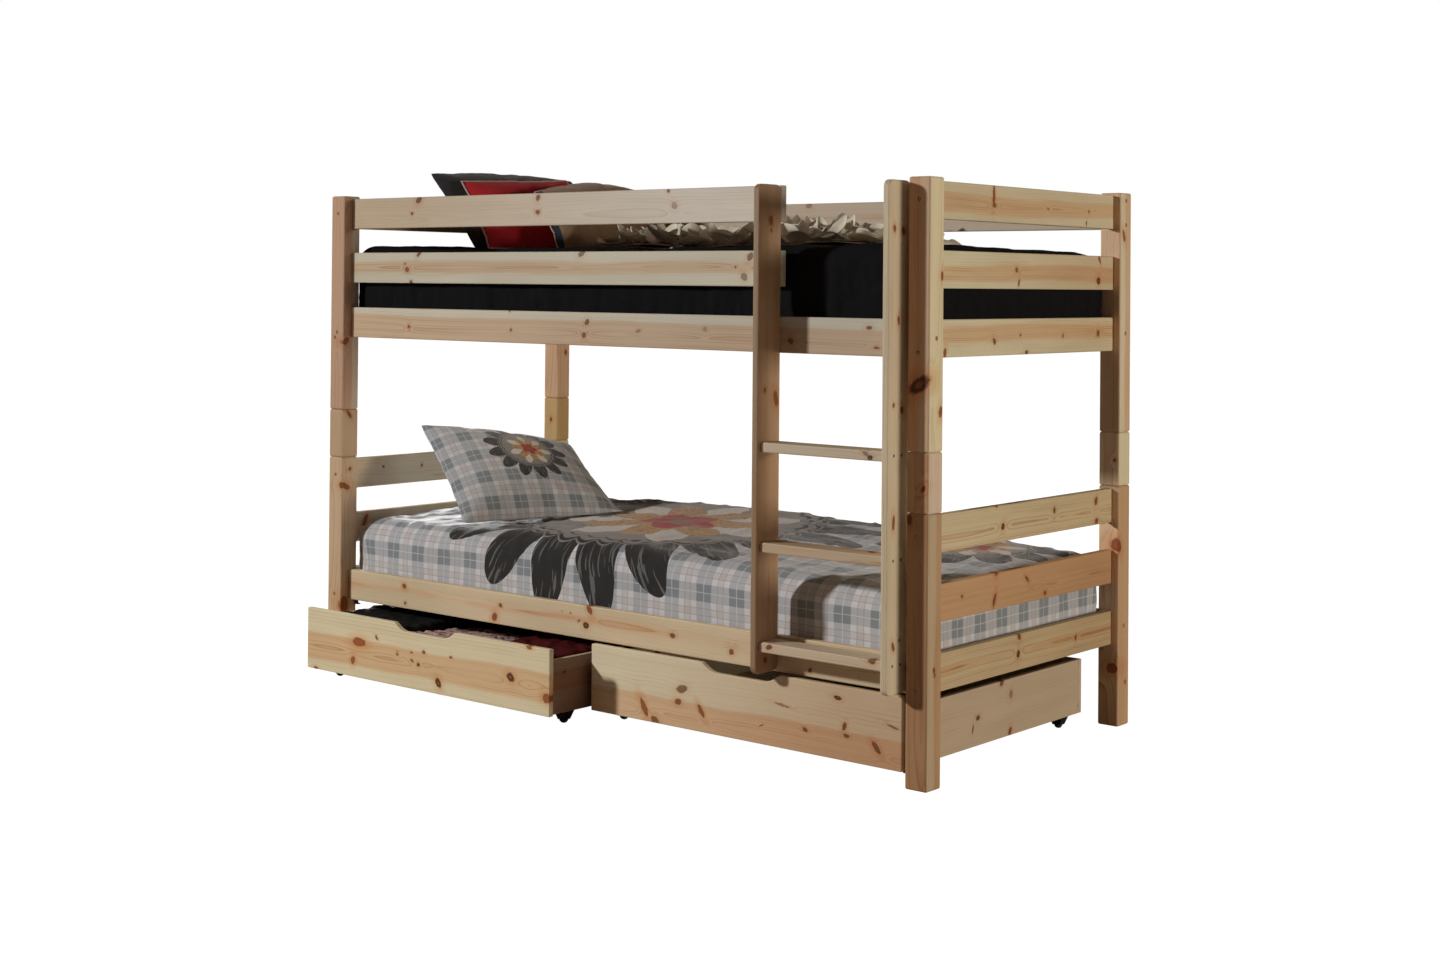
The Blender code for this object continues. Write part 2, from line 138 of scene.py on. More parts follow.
def lin(r, g, b):
    """An sRGB colour in 0..255 as linear values."""
    return tuple(
        (c / 255.0) / 12.92 if c / 255.0 <= 0.04045 else ((c / 255.0 + 0.055) / 1.055) ** 2.4
        for c in (r, g, b)
    )


def new_material(name):
    m = bpy.data.materials.new(name)
    m.use_nodes = True
    t = Tree(m.node_tree)
    return m, t, m.node_tree.nodes["Principled BSDF"]


# ---------------------------------------------------------------- pine
EARLY = lin(216, 198, 168)
LATE = lin(184, 148, 106)
HEART = (0.93, 0.72, 0.60)


def pine_group():
    """Growth rings, heartwood, fibre and knots of one board from its own coordinates.

    The vector runs along the grain, across the face and through the board, in metres.
    Knot is the distance to the nearest knot in knot radii; Red and Bark are its kind."""
    g = bpy.data.node_groups.new("pine", "ShaderNodeTree")
    face = g.interface
    for name, kind in (
        ("Board", "NodeSocketVector"), ("Pith", "NodeSocketVector"), ("Ring width", "NodeSocketFloat"),
        ("Heart radius", "NodeSocketFloat"), ("Contrast", "NodeSocketFloat"), ("Knot", "NodeSocketFloat"),
        ("Red", "NodeSocketFloat"), ("Bark", "NodeSocketFloat"), ("Tint", "NodeSocketColor"),
    ):
        face.new_socket(name, in_out="INPUT", socket_type=kind)
    for name, kind in (
        ("Color", "NodeSocketColor"), ("Roughness", "NodeSocketFloat"), ("Height", "NodeSocketFloat"),
    ):
        face.new_socket(name, in_out="OUTPUT", socket_type=kind)
    t = Tree(g)
    gi, go = t.node("NodeGroupInput"), t.node("NodeGroupOutput")
    board, knot = gi.outputs["Board"], gi.outputs["Knot"]

    # slow wander of the pith along the board
    wander = t.noise(t.mul_vec(board, (1.3, 3.0, 3.0)), 1.0, 2.0, 0.45, out="Color")
    wander = t.vmath("SUBTRACT", wander, (0.5, 0.5, 0.5))
    wander = t.mul_vec(wander, (0.0, 0.026, 0.030))
    across = t.vmath("SUBTRACT", t.vmath("ADD", board, wander), gi.outputs["Pith"])
    across = t.mul_vec(across, (0.0, 1.0, 1.0))
    radius = t.vmath("LENGTH", across)

    # rings swell round a knot
    swell = t.math("POWER", 2.718, t.math("MULTIPLY", t.math("MULTIPLY", knot, knot), -0.13))
    fine = t.noise(t.mul_vec(board, (5.0, 60.0, 60.0)), 1.0, 2.0, 0.5)
    rho = t.math("DIVIDE", radius, gi.outputs["Ring width"])
    rho = t.math("ADD", rho, t.math("MULTIPLY", swell, 1.9))
    rho = t.math("ADD", rho, t.math("MULTIPLY", fine, 0.55))
    frac = t.math("FRACT", rho)
    ring = t.ramp(frac, [(0.0, 0.05), (0.35, 0.12), (0.74, 0.55), (0.88, 1.0), (0.97, 0.35), (1.0, 0.05)])
    year = t.node("ShaderNodeTexWhiteNoise", noise_dimensions="1D")
    t.link(t.math("FLOOR", rho), year.inputs["W"])
    strength = t.math("MULTIPLY_ADD", t.math("POWER", year.outputs["Value"], 1.6), 0.95, 0.18)
    patch = t.smooth(t.noise(t.mul_vec(board, (3.1, 16.0, 16.0)), 1.0, 2.0, 0.5), 0.36, 0.62, 0.45, 1.15)
    strength = t.math("MULTIPLY", strength, patch)
    late = t.math("MULTIPLY", t.math("MULTIPLY", ring, strength), gi.outputs["Contrast"], clamp=True)

    fibre = t.noise(t.mul_vec(board, (9.0, 420.0, 420.0)), 1.0, 3.0, 0.6)
    blotch = t.noise(t.mul_vec(board, (2.2, 14.0, 14.0)), 1.0, 3.0, 0.55)
    colour = t.mix(late, EARLY, LATE)
    shade = t.math("ADD", t.math("MULTIPLY", fibre, 0.13), t.math("MULTIPLY", blotch, 0.20))
    shade = t.math("ADD", shade, 0.835)
    grey = t.node("ShaderNodeCombineXYZ")
    for k in range(3):
        t.link(shade, grey.inputs[k])
    colour = t.mix(1.0, colour, grey.outputs[0], "MULTIPLY")

    # pinkish heartwood near the pith
    ragged = t.math("MULTIPLY_ADD", t.noise(t.mul_vec(board, (3.0, 26.0, 26.0)), 1.0, 3.0, 0.6), 0.016, radius)
    depth = t.math("SUBTRACT", t.math("ADD", gi.outputs["Heart radius"], 0.008), ragged)
    heart = t.smooth(depth, -0.003, 0.006, 0.0, 0.9)
    colour = t.mix(heart, colour, t.mix(1.0, colour, HEART, "MULTIPLY"))

    # knots: halo, wood of the branch, dark rim
    red, bark = gi.outputs["Red"], gi.outputs["Bark"]
    warm = t.smooth(red, -0.5, 0.8, 0.42, 0.85)
    halo = t.math("MULTIPLY", t.smooth(knot, 0.8, 3.1, 1.0, 0.0), warm)
    colour = t.mix(halo, colour, t.mix(1.0, colour, (0.94, 0.72, 0.56), "MULTIPLY"))
    ripple = t.math("MULTIPLY_ADD", t.math("SINE", t.math("MULTIPLY", knot, 19.0)), 0.06, knot)
    level = t.ramp(t.math("DIVIDE", ripple, 1.3), [(0.0, 0.62), (0.12, 0.86), (0.34, 1.0), (0.52, 0.84), (0.70, 0.58), (0.84, 0.66), (1.0, 0.8)])
    tone = t.ramp(t.math("MULTIPLY_ADD", red, 0.5, 0.5), [(0.0, lin(156, 130, 104)), (0.36, lin(128, 88, 56)), (1.0, lin(160, 88, 52))])
    wood = t.mix(1.0, tone, level, "MULTIPLY")
    core = t.math("MULTIPLY", bark, t.smooth(t.math("ABSOLUTE", t.math("SUBTRACT", ripple, 0.62)), 0.10, 0.34, 0.75, 0.0))
    wood = t.mix(core, wood, lin(46, 30, 22))
    mask = t.math("MULTIPLY", t.smooth(knot, 0.76, 1.22, 1.0, 0.0), t.smooth(red, -1.0, -0.2, 0.72, 1.0))
    colour = t.mix(mask, colour, wood)
    # Tint: each board's colour factor, wood colour and painted light and shade together
    colour = t.mix(1.0, colour, gi.outputs["Tint"], "MULTIPLY")
    t.link(colour, go.inputs["Color"])
    rough = t.math("MULTIPLY_ADD", late, 0.10, 0.46)
    rough = t.math("MULTIPLY_ADD", fibre, 0.14, rough)
    t.link(rough, go.inputs["Roughness"])
    height = t.math("MULTIPLY_ADD", late, 0.5, t.math("MULTIPLY", fibre, 0.9))
    height = t.math("ADD", height, t.math("MULTIPLY", mask, 0.35))
    t.link(height, go.inputs["Height"])
    return g


PINE = pine_group()
AXES = {"x": (0, 2, 1), "y": (1, 2, 0), "z": (2, 0, 1), "zy": (2, 1, 0), "xy": (0, 1, 2), "yx": (1, 0, 2)}


def pine_material(name, grain, lo, hi, tint=(1, 1, 1), knots=None, seed=0, contrast=0.8,
                  log=None, ring=None, density=1.0, front=None):
    """One board's material.  `grain` picks which world axes run along, across and through
    the board.  A knot is (along, across or None, through or None, radius, stretch, tilt,
    redness, bark); `log` is the place of the pith (across, through) and the heartwood's
    radius; `tint` is the board's colour factor, fitted to wood colour and light together, so
    partly painted light and shade; `front` is a second tint for the face that looks to -Y
    (+X on a drawer side), painted light and shade on that face."""
    rnd = random.Random(seed)
    m, t, bsdf = new_material("pine_" + name)
    order = AXES[grain]
    centre = [(lo[k] + hi[k]) / 2 for k in range(3)]
    size = [hi[k] - lo[k] for k in range(3)]
    tc = t.node("ShaderNodeTexCoord")
    local = t.vmath("SUBTRACT", tc.outputs["Object"], tuple(centre))
    sep = t.node("ShaderNodeSeparateXYZ")
    t.link(local, sep.inputs[0])
    comb = t.node("ShaderNodeCombineXYZ")
    for k, axis in enumerate(order):
        t.link(sep.outputs[axis], comb.inputs[k])
    board = comb.outputs[0]
    length, width, thick = (size[a] for a in order)
    if knots is None:
        knots = []
        count = max(1, round(length * 2.6 * density)) if length > 0.12 else rnd.choice((0, 1))
        for k in range(count):
            along = (k + rnd.uniform(0.15, 0.85)) / count * length - length / 2
            r = rnd.uniform(0.004, 0.009) * min(1.0, 0.55 + width * 5)
            kind = (rnd.uniform(-0.4, 0.8), int(rnd.random() < 0.25))
            if rnd.random() < 0.75 or thick < 0.05:
                knots.append((along, rnd.uniform(-0.40, 0.40) * width, None, r, rnd.uniform(1.1, 1.8), rnd.uniform(-0.7, 0.7), *kind))
            else:
                knots.append((along, None, rnd.uniform(-0.26, 0.26) * thick, r, rnd.uniform(1.1, 1.6), rnd.uniform(-0.6, 0.6), *kind))
    wobble = t.noise(t.mul_vec(board, (48.0, 70.0, 70.0)), 1.0, 3.0, 0.55, out="Color")
    wobble = t.mul_vec(t.vmath("SUBTRACT", wobble, (0.5, 0.5, 0.5)), (0.009, 0.008, 0.008))
    warped = t.vmath("ADD", board, wobble)
    # a knot in a thick piece only reaches some way in from the face that shows it
    deep = 0.024 if thick > 0.05 else 50.0
    side = (-1 if grain == "xy" else 1) * width / 2
    near, red, bark = None, None, None
    for along, a, th, r, stretch, tilt, hue, rim in knots:
        mp = t.node("ShaderNodeMapping", vector_type="TEXTURE")
        t.link(warped, mp.inputs["Vector"])
        if th is None:
            mp.inputs["Location"].default_value = (along, a, -thick / 2 if thick > 0.05 else 0.0)
            mp.inputs["Rotation"].default_value = (0.0, 0.0, tilt)
            mp.inputs["Scale"].default_value = (r * stretch, r, deep)
        else:
            mp.inputs["Location"].default_value = (along, side, th)
            mp.inputs["Rotation"].default_value = (0.0, tilt, 0.0)
            mp.inputs["Scale"].default_value = (r * stretch, 0.024, r)
        d = t.vmath("LENGTH", mp.outputs[0])
        if near is None:
            near, red, bark = d, float(hue), float(rim)
        else:
            closer = t.math("LESS_THAN", d, near)
            red = t.math("MULTIPLY_ADD", closer, t.math("SUBTRACT", float(hue), red), red)
            bark = t.math("MULTIPLY_ADD", closer, t.math("SUBTRACT", float(rim), bark), bark)
            near = t.math("MINIMUM", near, d)
    if near is not None:
        rough_rim = t.noise(t.mul_vec(board, (150.0, 190.0, 190.0)), 1.0, 3.0, 0.6)
        near = t.math("MULTIPLY_ADD", t.math("SUBTRACT", rough_rim, 0.5), 0.55, near)
        near = t.math("MAXIMUM", near, 0.0)
    # every board was cut from its own place in a log
    shift = (rnd.uniform(-20, 20), 0.0, 0.0)
    placed = t.vmath("ADD", board, shift)
    if log is None:
        log = (rnd.uniform(-0.35, 0.35) * width, rnd.choice((-1, 1)) * (thick / 2 + rnd.uniform(-0.006, 0.030)), rnd.uniform(0.0, 0.034))
    grp = t.node("ShaderNodeGroup")
    grp.node_tree = PINE
    t.link(placed, grp.inputs["Board"])
    grp.inputs["Pith"].default_value = (0.0, log[0], log[1])
    grp.inputs["Ring width"].default_value = ring or rnd.uniform(0.0030, 0.0046)
    grp.inputs["Heart radius"].default_value = log[2]
    grp.inputs["Contrast"].default_value = contrast
    if near is None:
        grp.inputs["Knot"].default_value = 20.0
    else:
        t.link(near, grp.inputs["Knot"])
        t.put(grp.inputs["Red"], red)
        t.put(grp.inputs["Bark"], bark)
    # The face to -Y (+X on a drawer side) takes `front`: painted light and shade on that face.
    if front is None:
        grp.inputs["Tint"].default_value = (*tint, 1.0)
    else:
        ns = t.node("ShaderNodeSeparateXYZ")
        t.link(tc.outputs["Normal"], ns.inputs[0])
        if "side" in name:
            painted_face_mask = t.smooth(ns.outputs[0], 0.4, 0.9)
        else:
            painted_face_mask = t.smooth(ns.outputs[1], -0.9, -0.4, 1.0, 0.0)
        t.link(t.mix(painted_face_mask, tuple(tint), tuple(front)), grp.inputs["Tint"])
    t.link(grp.outputs["Color"], bsdf.inputs["Base Color"])
    t.link(grp.outputs["Roughness"], bsdf.inputs["Roughness"])
    bump = t.node("ShaderNodeBump")
    bump.inputs["Strength"].default_value = 0.30
    bump.inputs["Distance"].default_value = 0.0004
    t.link(grp.outputs["Height"], bump.inputs["Height"])
    t.link(bump.outputs[0], bsdf.inputs["Normal"])
    bsdf.inputs["Specular IOR Level"].default_value = 0.30
    return m


def grain_of(name):
    if "post" in name or "spacer" in name:
        return "z"
    if "stile" in name:
        return "zy"
    if "rung" in name:
        return "xy"
    if "end_rail" in name or "drawer_side" in name:
        return "y"
    if "slat" in name:
        return "yx"
    if "bottom" in name:
        return "yx"
    return "x"


# Each board's colour factor, fitted: its wood colour and part painted light and shade together; boards not listed take
# USUAL.
WOOD_AND_SHADE_TINT = {
    "guard_rail_front_middle": (0.962, 1.173, 1.389),
    "guard_rail_front_top": (0.897, 0.973, 1.111),
    "guard_rail_rear_top": (0.759, 0.787, 0.893),
    "ladder_rung_bottom": (1.015, 1.041, 1.100),
    "ladder_rung_middle": (0.871, 0.841, 0.845),
    "ladder_rung_top": (0.974, 1.054, 1.169),
    "ladder_stile_left": (0.841, 0.867, 0.917),
    "ladder_stile_right": (1.061, 1.147, 1.199),
    "left_drawer_front": (1.287, 1.450, 1.450),
    "lower_post_front_left": (0.994, 0.921, 0.887),
    "lower_post_front_right": (0.863, 0.860, 0.836),
    "lower_post_rear_right": (0.942, 0.775, 0.650),
    "lower_right_end_rail_bottom": (0.891, 0.862, 0.765),
    "lower_right_end_rail_middle": (0.924, 0.874, 0.803),
    "lower_right_end_rail_top": (1.007, 1.044, 0.978),
    "lower_side_rail_front": (1.126, 1.168, 1.174),
    "right_drawer_front": (1.165, 1.290, 1.336),
    "right_drawer_side_right": (0.881, 0.873, 0.905),
    "spacer_block_front_left": (0.847, 0.762, 0.704),
    "spacer_block_front_right": (1.167, 1.192, 1.377),
    "spacer_block_rear_left": (0.732, 0.618, 0.403),
    "spacer_block_rear_right": (1.241, 1.411, 1.450),
    "upper_post_front_left": (0.941, 0.976, 1.162),
    "upper_post_front_right": (1.288, 1.450, 1.450),
    "upper_post_rear_left": (0.884, 0.724, 0.674),
    "upper_post_rear_right": (1.179, 1.326, 1.424),
    "upper_right_end_rail_bottom": (1.096, 1.223, 1.248),
    "upper_right_end_rail_middle": (1.034, 1.157, 1.181),
    "upper_right_end_rail_top": (1.070, 1.190, 1.210),
    "upper_side_rail_front": (0.944, 1.136, 1.366),
}
USUAL = (0.996, 1.039, 1.069)
# Not the wood's own colour: these make up for light and shade in the photograph on one face
# of a board (WOOD_AND_SHADE_TINT holds a part of it too). FRONT = {} gives each board one factor all round.
FRONT = {
    "ladder_stile_left": (0.544, 0.499, 0.467),
    "left_drawer_side_right": (0.460, 0.370, 0.390),
    "lower_post_front_right": (0.660, 0.470, 0.350),
    "lower_post_rear_right": (1.220, 1.080, 1.040),
    "spacer_block_front_right": (0.823, 0.623, 0.516),
    "spacer_block_rear_right": (1.450, 1.400, 1.380),
    "upper_post_front_right": (1.030, 0.916, 0.903),
    "upper_post_rear_right": (1.100, 0.940, 0.900),
}
# Where the pith of each seen board lay (across, through) and how far its heartwood reached.
LOG = {
    "guard_rail_front_top": (-0.020, -0.045, 0.0),
    "guard_rail_front_middle": (0.002, -0.022, 0.020),
    "guard_rail_rear_top": (0.0, -0.020, 0.010),
    "upper_side_rail_front": (-0.014, -0.030, 0.038),
    "lower_side_rail_front": (0.004, -0.034, 0.016),
    "left_drawer_front": (-0.016, -0.022, 0.042),
    "right_drawer_front": (-0.062, -0.018, 0.046),
    "upper_right_end_rail_top": (-0.002, 0.018, 0.024),
    "upper_right_end_rail_middle": (-0.003, 0.018, 0.023),
    "upper_right_end_rail_bottom": (0.007, 0.020, 0.022),
    "lower_right_end_rail_top": (-0.010, 0.022, 0.012),
    "lower_right_end_rail_middle": (-0.006, 0.018, 0.060),
    "lower_right_end_rail_bottom": (0.000, 0.022, 0.016),
    "right_drawer_side_right": (0.000, 0.040, 0.012),
    "ladder_stile_left": (0.006, 0.026, 0.060),
    "ladder_stile_right": (0.010, 0.040, 0.0),
    "upper_post_front_right": (-0.020, -0.012, 0.034),
    "lower_post_front_right": (0.012, 0.024, 0.028),
    "upper_post_front_left": (0.000, -0.024, 0.040),
    "lower_post_front_left": (-0.020, 0.020, 0.016),
    "upper_post_rear_right": (0.030, 0.010, 0.016),
}
# Knots measured on each seen board, from the board's middle.
KNOTS = {
    "guard_rail_front_middle": [
        (-0.5015, 0.0404, None, 0.006, 2.0, 0.79, 0.1, 0),
        (-0.5516, -0.0049, None, 0.0075, 1.1, 0.0, 0.5, 0),
        (-0.5604, 0.0112, None, 0.0035, 1.0, 0.0, 0, 0),
        (-0.5341, -0.0415, None, 0.005, 1.4, 0.0, 0, 0),
        (0.1337, 0.0409, None, 0.008, 1.9, 0.61, -0.5, 0),
        (0.6521, 0.0036, None, 0.0035, 1.0, 0.0, 0, 0),
        (0.679, -0.0215, None, 0.009, 1.2, -0.7, -0.6, 0),
        (0.6973, 0.0288, None, 0.008, 1.4, 0.87, -0.4, 0),
    ],
    "guard_rail_front_top": [
        (-0.5038, 0.0361, None, 0.009, 1.5, 0.61, 0.1, 0),
        (-0.5328, -0.0028, None, 0.005, 1.1, 0.0, 0.3, 0),
        (-0.0303, 0.0314, None, 0.0075, 1.3, 0.96, 0.1, 0),
        (-0.0309, -0.0086, None, 0.006, 1.3, 0.0, 0.6, 0),
        (0.4323, 0.0392, None, 0.005, 1.0, 1.05, 0, 0),
        (0.4528, 0.0005, None, 0.008, 1.1, 0.0, -1, 0),
    ],
    "guard_rail_rear_top": [
        (0.0266, 0.0386, None, 0.008, 1.4, 0.0, -0.8, 0),
        (0.0435, -0.0071, None, 0.008, 1.2, 1.05, -0.8, 0),
    ],
    "ladder_rung_bottom": [
        (-0.1464, None, 0.0039, 0.006, 1.6, -0.35, -0.1, 0),
        (0.1492, None, 0.0097, 0.007, 1.4, 0.0, 0.1, 0),
    ],
    "ladder_rung_top": [
        (0.1395, None, -0.0053, 0.006, 1.4, -0.35, 0, 1),
        (0.1284, None, 0.0033, 0.005, 2, 0.52, -0.7, 0),
    ],
    "ladder_stile_left": [
        (0.51, 0.0027, None, 0.007, 1.6, 0.0, 0.6, 0),
        (0.4867, 0.0051, None, 0.0035, 1.4, 0.0, 0.2, 0),
        (0.0936, -0.0165, None, 0.005, 1.4, 0.0, 0.4, 0),
        (0.0699, 0.0296, None, 0.009, 2.2, -0.17, 0.9, 0),
        (-0.5682, -0.0074, None, 0.006, 1.3, 0.0, 0.3, 0),
    ],
    "ladder_stile_right": [
        (0.4851, -0.0234, None, 0.006, 1.5, 0.0, 0.5, 0),
        (0.4802, 0.0139, None, 0.0065, 1.5, 0.0, 0.5, 0),
        (0.2722, -0.0047, None, 0.0055, 2.0, 0.0, 0.4, 0),
        (0.0738, -0.023, None, 0.0045, 1.2, 0.0, 0.5, 0),
        (0.0619, 0.0131, None, 0.0065, 1.5, 0.0, 0.5, 0),
        (-0.199, -0.0197, None, 0.0055, 3.2, 0.0, 0.4, 0),
        (-0.4866, -0.018, None, 0.006, 1.8, -0.26, 0.4, 0),
        (-0.4736, 0.0075, None, 0.0035, 1.3, 0.0, 0.3, 0),
    ],
    "left_drawer_front": [
        (-0.2572, 0.014, None, 0.0125, 2.1, 0.0, 1, 0),
        (-0.282, -0.0407, None, 0.008, 1.4, 1.31, 0.8, 0),
        (-0.1826, 0.0357, None, 0.0045, 1.6, -0.87, 0, 0),
        (-0.0973, -0.0005, None, 0.0036, 1.3, 0.0, 0, 0),
        (-0.0374, -0.0107, None, 0.0035, 1.8, -0.35, -0.3, 0),
        (-0.0124, -0.0179, None, 0.0055, 1.1, 0.0, 0, 1),
        (0.0082, 0.0195, None, 0.0045, 1.6, 0.0, 0, 0),
        (0.1164, 0.0195, None, 0.004, 1.5, 0.0, 0, 0),
        (0.0679, -0.0577, None, 0.0105, 1.4, -0.96, 0.3, 1),
        (0.3413, -0.003, None, 0.011, 1.3, -0.44, 0.3, 1),
        (0.4717, -0.04, None, 0.012, 1.1, 0.0, 0.7, 0),
        (0.4074, 0.0859, None, 0.0055, 1.8, 0.0, 0.6, 0),
        (-0.4424, -0.087, None, 0.007, 1.5, 0.0, 0, 0),
        (-0.0398, 0.0126, None, 0.0025, 2, -0.26, 0, 0),
    ],
    "left_drawer_side_right": [
        (-0.3831, 0.0357, None, 0.0035, 2.0, 0.17, -0.3, 0),
    ],
    "lower_left_end_rail_middle": [
        (-0.3987, 0.0177, None, 0.008, 2.4, 1.05, 0.7, 0),
    ],
    "lower_left_end_rail_top": [
        (-0.1607, 0.007, None, 0.005, 1, 0.0, 0.2, 0),
        (-0.3245, 0.0125, None, 0.004, 1, 0.0, 0.2, 0),
    ],
    "lower_post_front_left": [
        (0.2368, 0.0259, None, 0.009, 1.1, 0.0, 0.7, 0),
        (0.2311, None, -0.0107, 0.008, 1.4, 0.87, 0.6, 0),
        (0.2845, None, 0.0006, 0.005, 1.2, 0.0, 0.4, 0),
        (-0.1224, None, -0.0176, 0.015, 1.9, 0.0, 1, 0),
    ],
    "lower_post_front_right": [
        (0.3053, -0.0221, None, 0.008, 1.5, 0.0, 0.4, 0),
        (-0.041, -0.0314, None, 0.006, 1.3, 0.0, 0.4, 0),
        (-0.0426, None, -0.0015, 0.004, 1.7, 0.0, 0.4, 0),
    ],
    "lower_post_rear_right": [
        (0.1647, None, -0.0332, 0.013, 1.6, 0.44, 0.8, 0),
        (-0.2062, None, 0.0094, 0.004, 1.4, 0.0, 0.3, 0),
        (-0.1655, 0.0121, None, 0.013, 1.2, 1.22, 0.9, 0),
    ],
    "lower_right_end_rail_bottom": [
        (-0.0472, 0.0379, None, 0.0075, 1.2, -0.79, 0.2, 0),
        (-0.0516, -0.0045, None, 0.0075, 1.4, 1.31, 0.1, 1),
        (0.2475, -0.0013, None, 0.0055, 1.4, 1.4, -0.1, 0),
    ],
    "lower_right_end_rail_middle": [
        (-0.3232, 0.0051, None, 0.0045, 1, 0.0, 0.2, 0),
        (-0.0104, 0.0154, None, 0.005, 2.3, -0.7, 0.4, 0),
        (-0.159, 0.0468, None, 0.007, 1.6, 1.05, 0.6, 0),
        (-0.1702, -0.0204, None, 0.0055, 3.2, 1.22, 0.5, 0),
        (0.0824, -0.031, None, 0.006, 1.2, 0.0, 0.5, 0),
    ],
    "lower_right_end_rail_top": [
        (-0.1313, -0.0078, None, 0.008, 1.2, 0.52, 0.2, 1),
        (0.1294, 0.0123, None, 0.0065, 1.3, 1.4, 0, 0),
        (0.3553, 0.0184, None, 0.008, 1.3, 1.22, 0.2, 0),
        (0.3588, -0.0347, None, 0.007, 1.4, 0.35, 0.3, 0),
        (-0.1612, 0.0449, None, 0.0045, 1.5, 0.0, 0, 0),
    ],
    "lower_side_rail_front": [
        (-0.7432, 0.0202, None, 0.007, 1.3, -0.35, 0.5, 0),
        (-0.7369, -0.0288, None, 0.0045, 1.2, 0.0, 0.3, 0),
        (-0.374, -0.0263, None, 0.0095, 1.3, 1.05, 0.9, 0),
        (-0.3511, 0.0086, None, 0.0055, 1.2, -0.35, 0, 0),
        (-0.1207, 0.0195, None, 0.0022, 1, 0.0, -0.5, 0),
        (-0.0886, 0.0195, None, 0.0022, 1, 0.0, 0, 0),
        (-0.0211, 0.0387, None, 0.008, 2.1, -1.13, 0.8, 0),
        (-0.0323, -0.0082, None, 0.0085, 1.2, 0.0, 0, 1),
        (-0.0576, 0.0008, None, 0.0035, 1.6, 0.52, -0.6, 0),
        (0.2658, 0.0025, None, 0.007, 1.2, 0.0, -0.2, 0),
        (0.4574, -0.0142, None, 0.0075, 1.1, 0.0, 0.1, 0),
        (0.6965, -0.0286, None, 0.0055, 1.2, 1.22, 0, 0),
    ],
    "right_drawer_front": [
        (-0.2987, -0.0527, None, 0.008, 3.2, -1.08, 0.55, 0),
        (-0.2615, -0.0806, None, 0.009, 1.4, -0.35, 0.3, 0),
        (-0.1734, 0.0119, None, 0.01, 1.8, 0.35, -0.4, 0),
        (-0.1861, -0.0218, None, 0.0075, 1.4, 0.0, 0.2, 0),
        (-0.1114, -0.0347, None, 0.006, 3.2, -1.01, 0.5, 0),
        (0.3016, 0.0588, None, 0.006, 1.9, -0.09, 0, 1),
        (0.3222, -0.006, None, 0.006, 1.8, 1.22, 0, 0),
        (0.3281, -0.0265, None, 0.004, 2.0, -0.09, 0, 0),
        (0.2081, -0.0311, None, 0.0045, 1.9, -0.35, -0.1, 0),
        (0.4111, -0.0414, None, 0.0075, 2.2, -0.87, 0.2, 0),
        (0.4575, 0.014, None, 0.003, 5.5, -0.14, -0.5, 0),
        (0.1393, 0.0179, None, 0.0026, 9, -0.14, -0.7, 0),
        (0.0765, -0.0432, None, 0.0016, 4, 0.44, 0, 0),
    ],
    "right_drawer_side_right": [
        (0.0233, 0.0683, None, 0.007, 1.5, 0.52, 0, 0),
        (0.0688, 0.0328, None, 0.0085, 1.3, 1.22, -0.8, 0),
        (-0.0928, -0.0024, None, 0.0065, 1.4, 0.0, -0.2, 0),
        (-0.1164, -0.0256, None, 0.0032, 3.6, 1.31, -0.2, 0),
        (0.065, -0.0597, None, 0.007, 1.5, 1.05, 0.5, 0),
        (0.425, -0.0514, None, 0.0025, 1, 0.0, 0, 0),
    ],
    "spacer_block_front_left": [
        (0.0577, None, -0.0058, 0.006, 2.4, 0.61, 0.6, 0),
    ],
    "upper_post_front_left": [
        (-0.1052, -0.0084, None, 0.004, 1.1, 0.0, 0.2, 0),
        (-0.1149, None, -0.0209, 0.009, 1.5, -0.79, 0.5, 0),
    ],
    "upper_post_front_right": [
        (-0.1646, 0.0023, None, 0.0165, 2.0, 0.96, 0.8, 1),
        (0.0892, None, 0.0227, 0.006, 1.9, 0.0, 0.4, 0),
        (-0.228, None, 0.019, 0.0075, 1.9, -0.17, 0.5, 0),
    ],
    "upper_post_rear_left": [
        (-0.1667, None, 0.0095, 0.006, 1.3, 0.0, 0.4, 0),
    ],
    "upper_post_rear_right": [
        (0.2053, None, -0.012, 0.007, 2.4, 0.35, 0.6, 0),
    ],
    "upper_right_end_rail_bottom": [
        (-0.1786, -0.0102, None, 0.0075, 1.2, -0.87, -0.2, 0),
        (-0.0507, 0.004, None, 0.004, 1, 0.0, 0.1, 0),
        (0.1686, -0.0013, None, 0.0045, 1.3, 1.4, 0.1, 0),
        (0.3608, 0.0041, None, 0.007, 1.3, 1.05, 0.4, 0),
        (-0.0204, -0.0402, None, 0.006, 1.4, 0.0, 0, 0),
        (-0.4081, -0.0339, None, 0.007, 1.6, 1.4, 0.5, 0),
    ],
    "upper_right_end_rail_middle": [
        (-0.0718, 0.0026, None, 0.006, 1, 0.0, 0.3, 0),
        (-0.0619, -0.0297, None, 0.004, 2.4, 1.4, 0.1, 0),
        (0.3667, 0.0356, None, 0.0045, 2.8, -1.13, 0.3, 0),
        (0.3618, -0.022, None, 0.0095, 1.1, 1.05, 0.1, 1),
    ],
    "upper_right_end_rail_top": [
        (-0.1858, 0.0211, None, 0.006, 4.2, 1.54, 0.4, 0),
        (-0.183, -0.0032, None, 0.0065, 1.3, 0.0, 0.2, 0),
        (0.0852, -0.0037, None, 0.003, 1.6, 0.0, 0.4, 0),
        (0.3061, -0.0026, None, 0.0035, 1.4, 0.0, 0.2, 0),
        (0.2932, -0.0348, None, 0.0032, 2.0, 1.4, 0, 0),
    ],
    "upper_side_rail_front": [
        (-0.7333, -0.008, None, 0.0055, 1.1, 0.0, 0.6, 0),
